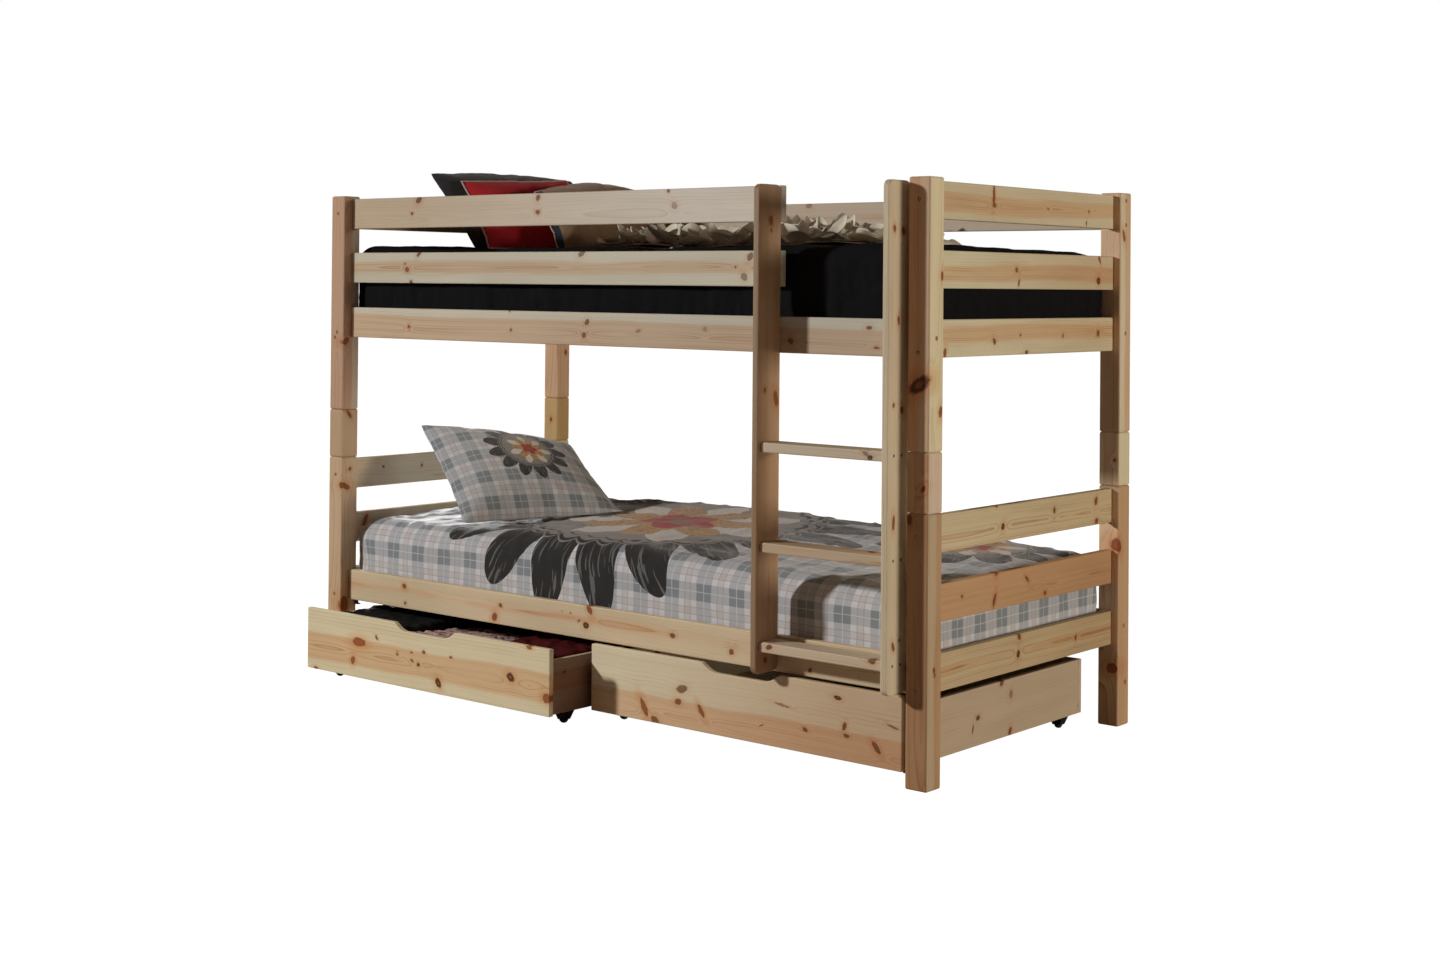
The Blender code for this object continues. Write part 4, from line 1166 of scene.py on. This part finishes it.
def mattress(name, z0, z1, mat, piping):
    """A foam mattress in its cover: a rounded block."""
    lo, hi = P(0.0640, 0.0800, z0), P(2.0260, 0.9400, z1)
    bm = bmesh.new()
    bmesh.ops.create_cube(bm, size=1.0)
    bmesh.ops.scale(bm, vec=hi - lo, verts=bm.verts)
    bmesh.ops.translate(bm, vec=(lo + hi) / 2, verts=bm.verts)
    upright = [e for e in bm.edges if abs(e.verts[0].co.z - e.verts[1].co.z) > 0.01]
    bmesh.ops.bevel(bm, geom=upright, offset=0.05, segments=6, profile=0.5, affect="EDGES")
    bmesh.ops.bevel(
        bm, geom=[e for e in bm.edges if abs(e.verts[0].co.z - e.verts[1].co.z) < 1e-5 and e.calc_face_angle(0) > 1.0],
        offset=0.016, segments=4, profile=0.5, affect="EDGES",
    )
    uv = bm.loops.layers.uv.new("cloth")
    for f in bm.faces:
        for l in f.loops:
            c = l.vert.co
            l[uv].uv = (c.x + c.y * 0.3, c.y if abs(f.normal.z) > 0.5 else c.z)
    me = bpy.data.meshes.new(name)
    bm.to_mesh(me)
    bm.free()
    me.shade_smooth()
    me.set_sharp_from_angle(angle=math.radians(50))
    o = bpy.data.objects.new(name, me)
    bpy.context.scene.collection.objects.link(o)
    me.materials.append(mat)
    return o


ticking = plain_cloth("mattress_ticking", lin(216, 210, 198), lin(198, 192, 180), pitch=0.0022, scale=12.0)
lower_core = mattress("lower_mattress_core", 0.2650, 0.4200, ticking, None)
upper_core = mattress("upper_mattress_core", 1.0530, 1.2300, ticking, None)
for core in (lower_core, upper_core):
    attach(core, BODY)
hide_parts("lower_mattress")
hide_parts("upper_mattress")

# ---------------------------------------------------------------- pillows
PILLOWS = {
    # name: case size, cells, pressure, corners (TL, TR, BR, BL), swell to front and back
    "lower_pillow_case": (
        (0.62, 0.50), (46, 38), 6.0,
        ((0.156, 0.225, 0.736), (0.352, 0.702, 0.660), (0.690, 0.580, 0.466), (0.512, 0.062, 0.478)), 0.060, 0.084, -0.022,
    ),
    "black_cushion": (
        (0.70, 0.44), (46, 32), 6.0,
        ((0.105, 0.305, 1.510), (0.140, 0.930, 1.512), (0.340, 0.915, 1.272), (0.315, 0.300, 1.268)), 0.050, 0.055, -0.020,
    ),
    "red_cushion": (
        (0.56, 0.40), (42, 32), 7.0,
        ((0.200, 0.352, 1.484), (0.190, 0.845, 1.507), (0.425, 0.835, 1.268), (0.400, 0.272, 1.268)), 0.052, 0.045, -0.006,
    ),
    "beige_cushion": (
        (0.54, 0.40), (42, 32), 7.0,
        ((0.400, 0.470, 1.449), (0.435, 0.945, 1.466), (0.600, 0.900, 1.268), (0.565, 0.400, 1.268)), 0.055, 0.050, -0.036,
    ),
}
cases = {}
for k, (name, spec) in enumerate(PILLOWS.items()):
    (w, h), (nx, ny), pressure = spec[0], spec[1], spec[2]
    cases[name] = sewn_case(name, w, h, nx, ny, pressure, 7 + k)
for frame_no in range(1, 27):
    bpy.context.scene.frame_set(frame_no)
blown = {}
for name, (o, cloth, uvs, faces, seam) in cases.items():
    blown[name] = read_points(o)
for name, (o, cloth, uvs, faces, seam) in cases.items():
    if cloth:
        o.modifiers.remove(cloth)
bpy.context.scene.frame_set(1)


def tube(points, radius, sides=6, closed=True):
    """A round cord along points: vertices and faces."""
    pts = np.asarray(points)
    n = len(pts)
    tang = np.roll(pts, -1, axis=0) - np.roll(pts, 1, axis=0) if closed else np.gradient(pts, axis=0)
    tang /= np.linalg.norm(tang, axis=1, keepdims=True)
    ref = np.array([0.31, -0.22, 0.92])
    a = np.cross(tang, ref)
    a /= np.maximum(np.linalg.norm(a, axis=1, keepdims=True), 1e-6)
    b = np.cross(tang, a)
    verts, faces = [], []
    for i in range(n):
        for k in range(sides):
            w = 2 * math.pi * k / sides
            verts.append(pts[i] + radius * (math.cos(w) * a[i] + math.sin(w) * b[i]))
    last = n if closed else n - 1
    for i in range(last):
        j = (i + 1) % n
        for k in range(sides):
            m = (k + 1) % sides
            faces.append((i * sides + k, i * sides + m, j * sides + m, j * sides + k))
    if not closed:
        faces.append(tuple(range(sides))[::-1])
        faces.append(tuple((n - 1) * sides + k for k in range(sides)))
    return verts, faces


def build_pillow(name, mats, rest, piping=None, side_strip=False):
    (w, h), cells, pressure, corners, front, back, sag = PILLOWS[name]
    o, cloth, uvs, faces, seam = cases[name]
    pts = place_case(blown[name], FLAT[name], (w, h), corners, front, back, sag)
    low = rest(pts[:, 0], pts[:, 1]) + 0.003
    under = pts[:, 2] < low
    pts[under, 2] = low[under] + (pts[under, 2] - low[under]) * 0.02
    pts[:, 1] = np.minimum(pts[:, 1], 0.958)
    verts = pts + np.array([SX, SY, 0])
    bpy.data.objects.remove(o, do_unlink=True)
    o = mesh_object(name, verts, faces, uvs, materials=mats)
    sub = o.modifiers.new("smooth", "SUBSURF")
    sub.levels = sub.render_levels = 1
    if piping is not None:
        tv, tf = tube(verts[seam], piping[1])
        cord = mesh_object(name + "_piping", tv, tf, [(i * 0.003, (i % 6) * 0.002) for i in range(len(tv))], materials=[piping[0]])
        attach(cord, BODY)
    if side_strip:
        n_front = cells[0] * cells[1]
        for poly in o.data.polygons:
            c = sum((uvs[v][0] for v in poly.vertices)) / 4
            if all(v < n_front for v in poly.vertices) and -w / 2 <= c < -w / 2 + 0.030:
                poly.material_index = 1
    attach(o, BODY)
    return o


def lower_rest(x, y):
    return lower_crest(x, y) + 0.004


def upper_rest(x, y):
    return upper_crest(x, y) + 0.002


pillow_mat = bedding_material("pillow_cotton", ((0.02, 0.055, 0.155, 13, 0.2),), gain=0.97)
black_mat = plain_cloth("black_cushion_cotton", lin(58, 61, 66), lin(46, 48, 52), sheen=0.2)
red_mat = plain_cloth("red_cushion_cotton", lin(216, 50, 64), lin(194, 38, 50), sheen=0.05)
beige_mat = plain_cloth("beige_cushion_cotton", lin(170, 142, 112), lin(150, 122, 94), sheen=0.2)


def add_square(mat, cx, cy, half, colour):
    """A plain square of other cloth sewn on a cushion."""
    t = Tree(mat.node_tree)
    bsdf = mat.node_tree.nodes["Principled BSDF"]
    base = bsdf.inputs["Base Color"].links[0].from_socket
    sep = t.node("ShaderNodeSeparateXYZ")
    t.link(cloth_uv(t), sep.inputs[0])
    inside = t.math("MULTIPLY", t.math("LESS_THAN", t.math("ABSOLUTE", t.math("SUBTRACT", sep.outputs[0], cx)), half),
                    t.math("LESS_THAN", t.math("ABSOLUTE", t.math("SUBTRACT", sep.outputs[1], cy)), half))
    t.link(t.mix(inside, base, colour), bsdf.inputs["Base Color"])


add_square(beige_mat, 0.205, -0.125, 0.024, lin(138, 34, 52))
teal_mat = plain_cloth("blue_strip_cotton", lin(44, 62, 72), lin(34, 48, 58), sheen=0.2)
cord_mat = plain_cloth("piping_cotton", lin(214, 196, 186), lin(196, 170, 164), sheen=0.1)
lower_pillow = build_pillow("lower_pillow_case", [pillow_mat], lower_rest)
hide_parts("lower_pillow")
black = build_pillow("black_cushion", [black_mat], upper_rest)
red = build_pillow("red_cushion", [red_mat], upper_rest, piping=(cord_mat, 0.0028))
beige = build_pillow("beige_cushion", [beige_mat, teal_mat], upper_rest, piping=(cord_mat, 0.0026), side_strip=True)
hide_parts("upper_pillows")

# ---------------------------------------------------------------- felt throw on the upper bed
def throw_end(y):
    """The throw lies askew: where its right end is at each depth."""
    return 1.866 - 0.40 * (y - 0.35)


def throw_height(x, y):
    """Top of the throw's ground cloth: it lies on the quilt, a little loose."""
    flat = np.stack([x, y, np.zeros_like(x)], axis=-1).reshape(-1, 3)
    ripple = fractal(flat, 9.0, 2, 61.0).reshape(np.shape(x))
    turned_up = 0.020 * np.exp(-(((x - throw_end(y) + 0.028) / 0.024) ** 2))
    return upper_crest(x, y) + 0.012 + 0.0035 * ripple + turned_up


felt_mat = plain_cloth("felt_cream", lin(250, 247, 232), lin(234, 227, 206), pitch=0.0026, sheen=0.2, strength=0.3, scale=60.0)
TW, TL = 0.60, 1.06
nu, nv = ((108, 62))
gy = np.ones((nu, 1)) * np.linspace(0.33, 0.33 + TW, nv)[None, :]
gx = 0.800 + (throw_end(gy) - 0.800) * np.linspace(0.0, 1.0, nu)[:, None]
gz = throw_height(gx, gy)
base_pts = np.stack([gx, gy, gz], axis=2)
flat_uv = np.stack([gx - 0.8, gy - 0.33], axis=2).reshape(-1, 2)
idx = np.arange(nu * nv).reshape(nu, nv)
quads = np.stack([idx[:-1, :-1], idx[1:, :-1], idx[1:, 1:], idx[:-1, 1:]], axis=2).reshape(-1, 4)
throw_base = mesh_object("throw_base", base_pts.reshape(-1, 3) + np.array([SX, SY, 0]), quads, flat_uv, materials=[felt_mat])
thick = throw_base.modifiers.new("felt", "SOLIDIFY")
thick.thickness = 0.0022
thick.offset = -1.0


def petals(seed):
    """Pointed felt leaves sewn by one end to the throw."""
    rnd = random.Random(seed)
    verts, faces, uvs = [], [], []
    rows, cols = 8, 5
    count = 420
    for k in range(count):
        y = 0.345 + 0.565 * rnd.random() ** 0.9
        x = 0.790 + (0.845 - 0.15 * (y - 0.35)) * ((k * 0.61803) % 1.0)
        tall = 0.74 + 0.34 * math.exp(-(((x - 1.40) / 0.20) ** 2)) - 0.34 * (y - 0.35)
        if x > 1.54:
            tall *= 0.72
        length = rnd.uniform(0.074, 0.112)
        width = rnd.uniform(0.054, 0.078)
        spin = rnd.uniform(0, 2 * math.pi)
        lift = math.radians(rnd.uniform(0, 50)) * min(1.0, tall)
        curl = rnd.uniform(-1.6, 1.7)
        cup = rnd.uniform(0.10, 0.75)
        roll = rnd.uniform(-0.5, 0.5)
        ground = float(throw_height(np.array([x]), np.array([y]))[0]) + 0.0015
        limit = 0.092 * tall
        start = len(verts)
        px, pz, slope = 0.0, 0.0, lift
        spine = []
        for i in range(rows):
            spine.append((px, pz, slope))
            slope = lift + curl * ((i + 1) / rows) ** 1.5
            px += length / (rows - 1) * math.cos(slope)
            pz += length / (rows - 1) * math.sin(slope)
        for i, (sx_, sz_, sl) in enumerate(spine):
            f = i / (rows - 1)
            half = width / 2 * (math.sin(math.pi * min(f * 0.84 + 0.16, 1.0) ** 0.9) ** 0.62 + 0.02)
            for j in range(cols):
                g = (j / (cols - 1) - 0.5) * 2
                side_y = g * half * math.cos(cup * g * 0.9)
                up = half * cup * g * g + g * half * roll * f
                lx = sx_ - math.sin(sl) * up
                lz = sz_ + math.cos(sl) * up
                wx = x + lx * math.cos(spin) - side_y * math.sin(spin)
                wy = y + lx * math.sin(spin) + side_y * math.cos(spin)
                wz = ground + max(min(lz, limit), 0.0008 * i)
                verts.append((wx + SX, wy + SY, wz))
                uvs.append((f * length + (k % 17) * 0.1, g * half + (k % 13) * 0.1))
        for i in range(rows - 1):
            for j in range(cols - 1):
                q = start + i * cols + j
                faces.append((q, q + cols, q + cols + 1, q + 1))
    o = mesh_object("throw_petals", verts, faces, uvs, materials=[felt_mat])
    t_ = o.modifiers.new("felt", "SOLIDIFY")
    t_.thickness = 0.0016
    sub = o.modifiers.new("smooth", "SUBSURF")
    sub.levels = sub.render_levels = 1
    return o


leaves = petals(11)
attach(throw_base, BODY)
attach(leaves, BODY)


# ---------------------------------------------------------------- textiles in the left drawer
def folded(name, lo, hi, top_slope, mat, seed, wrinkle=0.006):
    """A loosely folded pile of cloth standing in the drawer."""

    def relief(s, t, d, pts):
        flat = np.stack([s, t, pts[..., 2] * 0.5], axis=2).reshape(-1, 3)
        big = fractal(flat, 7.0, 2, seed).reshape(s.shape)
        ridge = (1 - np.abs(fractal(flat * np.array([1.0, 1.6, 1.0]), 13.0, 2, seed + 9.0).reshape(s.shape)) * 2.6).clip(0, 1) ** 2
        layers = np.abs(np.sin(pts[..., 2] * math.pi / 0.012)) * np.clip(d / 0.05, 0, 1)
        return wrinkle * big + wrinkle * 0.9 * ridge + 0.0022 * layers - 0.004

    def crest(x, y):
        return hi[2] - 0.010 + top_slope * np.clip((y - lo[1]) / (hi[1] - lo[1]), 0, 1) + 0 * x

    o = quilt(name, (lo[0], lo[1], 0), hi, lo[2], 0.022, 0.004, 0.007, relief, crest, [mat], corner=2.6)
    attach(o, "left_drawer")
    return o


def speckled_cloth(name):
    """Pinkish cloth with small scattered dark and pale sprigs."""
    m, t, bsdf = new_material(name)
    uv = cloth_uv(t)
    vor = t.node("ShaderNodeTexVoronoi", voronoi_dimensions="2D", feature="F1")
    t.link(t.vmath("ADD", uv, t.mul_vec(t.vmath("SUBTRACT", t.noise(t.mul_vec(uv, (60, 60, 1)), 1.0, 2.0, out="Color"), (0.5, 0.5, 0.5)), (0.02, 0.02, 0))), vor.inputs["Vector"])
    vor.inputs["Scale"].default_value = 62.0
    dark = t.smooth(vor.outputs["Distance"], 0.30, 0.40, 1.0, 0.0)
    pick = t.node("ShaderNodeSeparateXYZ")
    t.link(vor.outputs["Color"], pick.inputs[0])
    col = t.mix(t.noise(t.mul_vec(uv, (24, 24, 1)), 1.0, 3.0), lin(206, 178, 176), lin(176, 144, 144))
    col = t.mix(t.math("MULTIPLY", dark, t.math("GREATER_THAN", pick.outputs[0], 0.42)), col, lin(92, 66, 68))
    col = t.mix(t.math("MULTIPLY", dark, t.math("LESS_THAN", pick.outputs[0], 0.2)), col, lin(232, 220, 214))
    t.link(col, bsdf.inputs["Base Color"])
    bsdf.inputs["Roughness"].default_value = 0.85
    weave_bump(t, bsdf, uv, 0.0012, 0.3, wrinkle=1.6)
    return m


folded("drawer_cloth_black", (0.104, -0.122, 0.053), (0.432, 0.560, 0.200), 0.004, plain_cloth("drawer_black_cotton", lin(27, 28, 30), lin(18, 19, 21), sheen=0.0), 71.0, 0.009)
folded("drawer_cloth_patterned", (0.440, -0.122, 0.053), (0.740, 0.200, 0.197), -0.030, speckled_cloth("drawer_patterned_cotton"), 83.0, 0.007)
folded("drawer_cloth_red", (0.752, -0.122, 0.053), (1.018, 0.430, 0.200), 0.0, plain_cloth("drawer_red_cotton", lin(104, 18, 26), lin(58, 11, 16), sheen=0.0), 97.0, 0.011)


# ---------------------------------------------------------------- bolts, screws and a clip
def metal(name, colour, rough):
    m, t, bsdf = new_material(name)
    tc = t.node("ShaderNodeTexCoord")
    n = t.noise(tc.outputs["Object"], 1400.0, 3.0, 0.6)
    big = t.noise(tc.outputs["Object"], 260.0, 3.0, 0.6)
    t.link(t.mix(big, colour, tuple(c * 0.62 for c in colour)), bsdf.inputs["Base Color"])
    bsdf.inputs["Metallic"].default_value = 0.15
    t.link(t.math("MULTIPLY_ADD", n, 0.25, rough), bsdf.inputs["Roughness"])
    bump = t.node("ShaderNodeBump")
    bump.inputs["Strength"].default_value = 0.15
    bump.inputs["Distance"].default_value = 0.0002
    t.link(n, bump.inputs["Height"])
    t.link(bump.outputs[0], bsdf.inputs["Normal"])
    return m


def turned(name, places, profile, mats, sides=20, slot=()):
    """Round fittings turned from one profile of (radius, height), one at each place;
    the bands of the profile named in `slot` take the second material (-1 is the centre)."""
    verts, faces, index = [], [], []
    for place, out in places:
        z = Vector(out).normalized()
        x = z.orthogonal().normalized()
        y = z.cross(x)
        start = len(verts)
        for r, h in profile:
            for k in range(sides):
                a = 2 * math.pi * k / sides
                verts.append(tuple(P(*place) + x * (r * math.cos(a)) + y * (r * math.sin(a)) + z * h))
        centre = len(verts)
        verts.append(tuple(P(*place) + z * profile[0][1]))
        for k in range(sides):
            faces.append((centre, start + k, start + (k + 1) % sides))
            index.append(1 if -1 in slot else 0)
        for i in range(len(profile) - 1):
            for k in range(sides):
                q, w = start + i * sides + k, start + i * sides + (k + 1) % sides
                faces.append((q, q + sides, w + sides, w))
                index.append(1 if i in slot else 0)
    o = mesh_object(name, verts, faces, smooth=False, materials=mats)
    for p, i in zip(o.data.polygons, index):
        p.material_index = i
    o.data.shade_smooth()
    o.data.set_sharp_from_angle(angle=math.radians(35))
    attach(o, BODY)
    return o


TIER = 0.785
END_X = (0.0306, 2.0594)
sites = []
for base in (0.0, TIER):
    for x in END_X:
        for z in (base + 0.5897, base + 0.2319):
            sites.append(((x, 0.0, z), (0, -1, 0)))
            sites.append(((x, 1.0200, z), (0, 1, 0)))
for x, out in ((0.0, -1), (2.090, 1)):
    for y, front in ((0.0315, True), (0.9885, False)):
        heights = [0.2670, TIER + 0.2649]
        if out < 0 or not front:
            heights += [TIER + 0.5562, TIER + 0.6212]
        if out < 0 and front:
            heights += [TIER + 0.3943, TIER + 0.4593]
        for z in heights:
            sites.append(((x, y, z), (out, 0, 0)))
zinc = metal("zinc_plate", lin(222, 190, 148), 0.42)
dark_steel = metal("dark_steel", lin(46, 38, 32), 0.5)
# The groove round each bolt head's centre is dark brown: painted shade in the recess.
turned(
    "bolt_heads", sites,
    [(0.0023, -0.0010), (0.0027, -0.0014), (0.0028, -0.0036), (0.0041, -0.0036), (0.0043, -0.0008), (0.0050, -0.0005), (0.0057, -0.0010), (0.0057, -0.0060)],
    [zinc, metal("bolt_groove_painted_shade", lin(74, 52, 36), 0.55)], slot=(1, 2, 3),
)
screws = []
for z in (0.776, 0.532, 0.288):
    for y in (-0.036, -0.003):
        screws.append(((2.0187, y, z), (1, 0, 0)))
        screws.append(((1.6274, y, z), (-1, 0, 0)))
# The middle of each screw head is near black: painted shade of the drive recess.
turned(
    "ladder_screws", screws,
    [(0.0009, -0.0003), (0.0013, 0.0001), (0.0030, 0.0003), (0.0036, 0.0001), (0.0037, -0.0006)],
    [dark_steel, metal("screw_drive_painted_shade", lin(30, 27, 25), 0.6)], slot=(-1, 0),
)


def clip(name):
    """A small moulded hook under the front side rail, beside the post."""
    bm = bmesh.new()
    for size, place in (
        ((0.015, 0.020, 0.0045), (0.0690, 0.0600, 0.2120)), ((0.015, 0.0045, 0.014), (0.0690, 0.0545, 0.2050)),
        ((0.015, 0.0120, 0.0035), (0.0690, 0.0600, 0.1995)),
    ):
        made = bmesh.ops.create_cube(bm, size=1.0)["verts"]
        bmesh.ops.scale(bm, vec=size, verts=made)
        bmesh.ops.translate(bm, vec=P(*place), verts=made)
    bmesh.ops.bevel(bm, geom=bm.edges[:], offset=0.0010, segments=2, affect="EDGES")
    me = bpy.data.meshes.new(name)
    bm.to_mesh(me)
    bm.free()
    me.shade_smooth()
    me.set_sharp_from_angle(angle=math.radians(40))
    o = bpy.data.objects.new(name, me)
    bpy.context.scene.collection.objects.link(o)
    me.materials.append(plastic("clip_black_plastic", lin(34, 34, 35), 0.45))
    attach(o, BODY)
    return o


clip("rail_clip")

# ---------------------------------------------------------------- camera
cam_data = bpy.data.cameras.new("camera")
cam = bpy.data.objects.new("camera", cam_data)
bpy.context.scene.collection.objects.link(cam)
yaw, pitch, roll = 0.73422, 0.01197, 0.00938
fw = Vector((-math.sin(yaw) * math.cos(pitch), math.cos(yaw) * math.cos(pitch), math.sin(pitch)))
rt = Vector((math.cos(yaw), math.sin(yaw), 0.0))
up = rt.cross(fw)
rt2 = rt * math.cos(roll) + up * math.sin(roll)
up2 = up * math.cos(roll) - rt * math.sin(roll)
turn = Matrix((rt2, up2, -fw)).transposed().to_4x4()
cam.matrix_world = Matrix.Translation(P(4.52369, -3.96172, 1.16688)) @ turn
cam_data.sensor_fit = "HORIZONTAL"
cam_data.sensor_width = 36.0
cam_data.lens = 1974.71 / 1440.0 * 36.0
cam_data.shift_x = (720.0 - 563.892) / 1440.0
cam_data.shift_y = (260.975 - 480.0) / 1440.0
cam_data.clip_start = 0.05
cam_data.clip_end = 100.0
bpy.context.scene.camera = cam

# ---------------------------------------------------------------- floor, world and light
bpy.ops.mesh.primitive_plane_add(size=60.0, location=(0, 0, -0.0002))
floor = bpy.context.active_object
floor.name = "floor"
fm, ft, fb = new_material("floor")
fb.inputs["Base Color"].default_value = (0.42, 0.37, 0.33, 1)
fb.inputs["Roughness"].default_value = 0.75
fb.inputs["Specular IOR Level"].default_value = 0.1
path = ft.node("ShaderNodeLightPath")
fb.inputs["Emission Color"].default_value = (1, 1, 1, 1)
ft.link(path.outputs["Is Camera Ray"], fb.inputs["Emission Strength"])
floor.data.materials.append(fm)

KEY, KEY_COLOUR = 1.95, (1.0, 0.945, 0.893)
PANEL, PANEL_COLOUR = 1400.0, (1.0, 0.885, 0.745)
LEFT = 4.0
WORLD, WORLD_COLOUR = 0.078, (1.0, 0.65, 0.50)
world = bpy.data.worlds.new("studio")
bpy.context.scene.world = world
world.use_nodes = True
wt = Tree(world.node_tree)
bg = world.node_tree.nodes["Background"]
bg2 = wt.node("ShaderNodeBackground")
bg2.inputs["Color"].default_value = (1, 1, 1, 1)
bg2.inputs["Strength"].default_value = 1.0
bg.inputs["Color"].default_value = (*WORLD_COLOUR, 1)
bg.inputs["Strength"].default_value = WORLD
lp = wt.node("ShaderNodeLightPath")
mixs = wt.node("ShaderNodeMixShader")
wt.link(lp.outputs["Is Camera Ray"], mixs.inputs[0])
wt.link(bg.outputs[0], mixs.inputs[1])
wt.link(bg2.outputs[0], mixs.inputs[2])
wt.link(mixs.outputs[0], world.node_tree.nodes["World Output"].inputs["Surface"])


def lamp(name, place, strength, colour, radius):
    """A near light, in bed coordinates, that lights near and far parts alike."""
    d = bpy.data.lights.new(name, "POINT")
    d.energy = strength * 4 * math.pi
    d.color = colour
    d.shadow_soft_size = radius
    d.use_nodes = True
    t = Tree(d.node_tree)
    fall = t.node("ShaderNodeLightFalloff")
    fall.inputs["Strength"].default_value = 1.0
    emit = next(n for n in d.node_tree.nodes if n.type == "EMISSION")
    t.link(fall.outputs["Constant"], emit.inputs["Strength"])
    o = bpy.data.objects.new(name, d)
    bpy.context.scene.collection.objects.link(o)
    o.location = P(*place)
    o.visible_camera = False
    return o


# its place follows from the shadows of the drawer's corner and of the ladder's stiles
lamp("key", (-1.53, -3.50, 2.42), KEY, KEY_COLOUR, 0.19)


def area(name, place, aim, width, height, energy, colour, spread=180.0):
    """A soft rectangular light, in bed coordinates."""
    d = bpy.data.lights.new(name, "AREA")
    d.shape = "RECTANGLE"
    d.size, d.size_y = width, height
    d.spread = math.radians(spread)
    d.energy = energy
    d.color = colour
    o = bpy.data.objects.new(name, d)
    bpy.context.scene.collection.objects.link(o)
    o.location = P(*place)
    o.rotation_euler = (P(*place) - P(*aim)).to_track_quat("Z", "Y").to_euler()
    o.visible_camera = False
    return o


# a low soft panel far beyond the ladder's end, and a small one beside the pillow's end
area("panel", (17.7, 3.60, 1.45), (1.60, 0.20, 1.00), 4.20, 3.80, PANEL, PANEL_COLOUR)
area("left", (-3.00, 1.60, 0.95), (0.20, 0.35, 0.47), 0.35, 0.35, LEFT, (1.0, 0.98, 0.96), 18.0)
bpy.context.scene.view_settings.view_transform = "Standard"
bpy.context.scene.view_settings.look = "None"
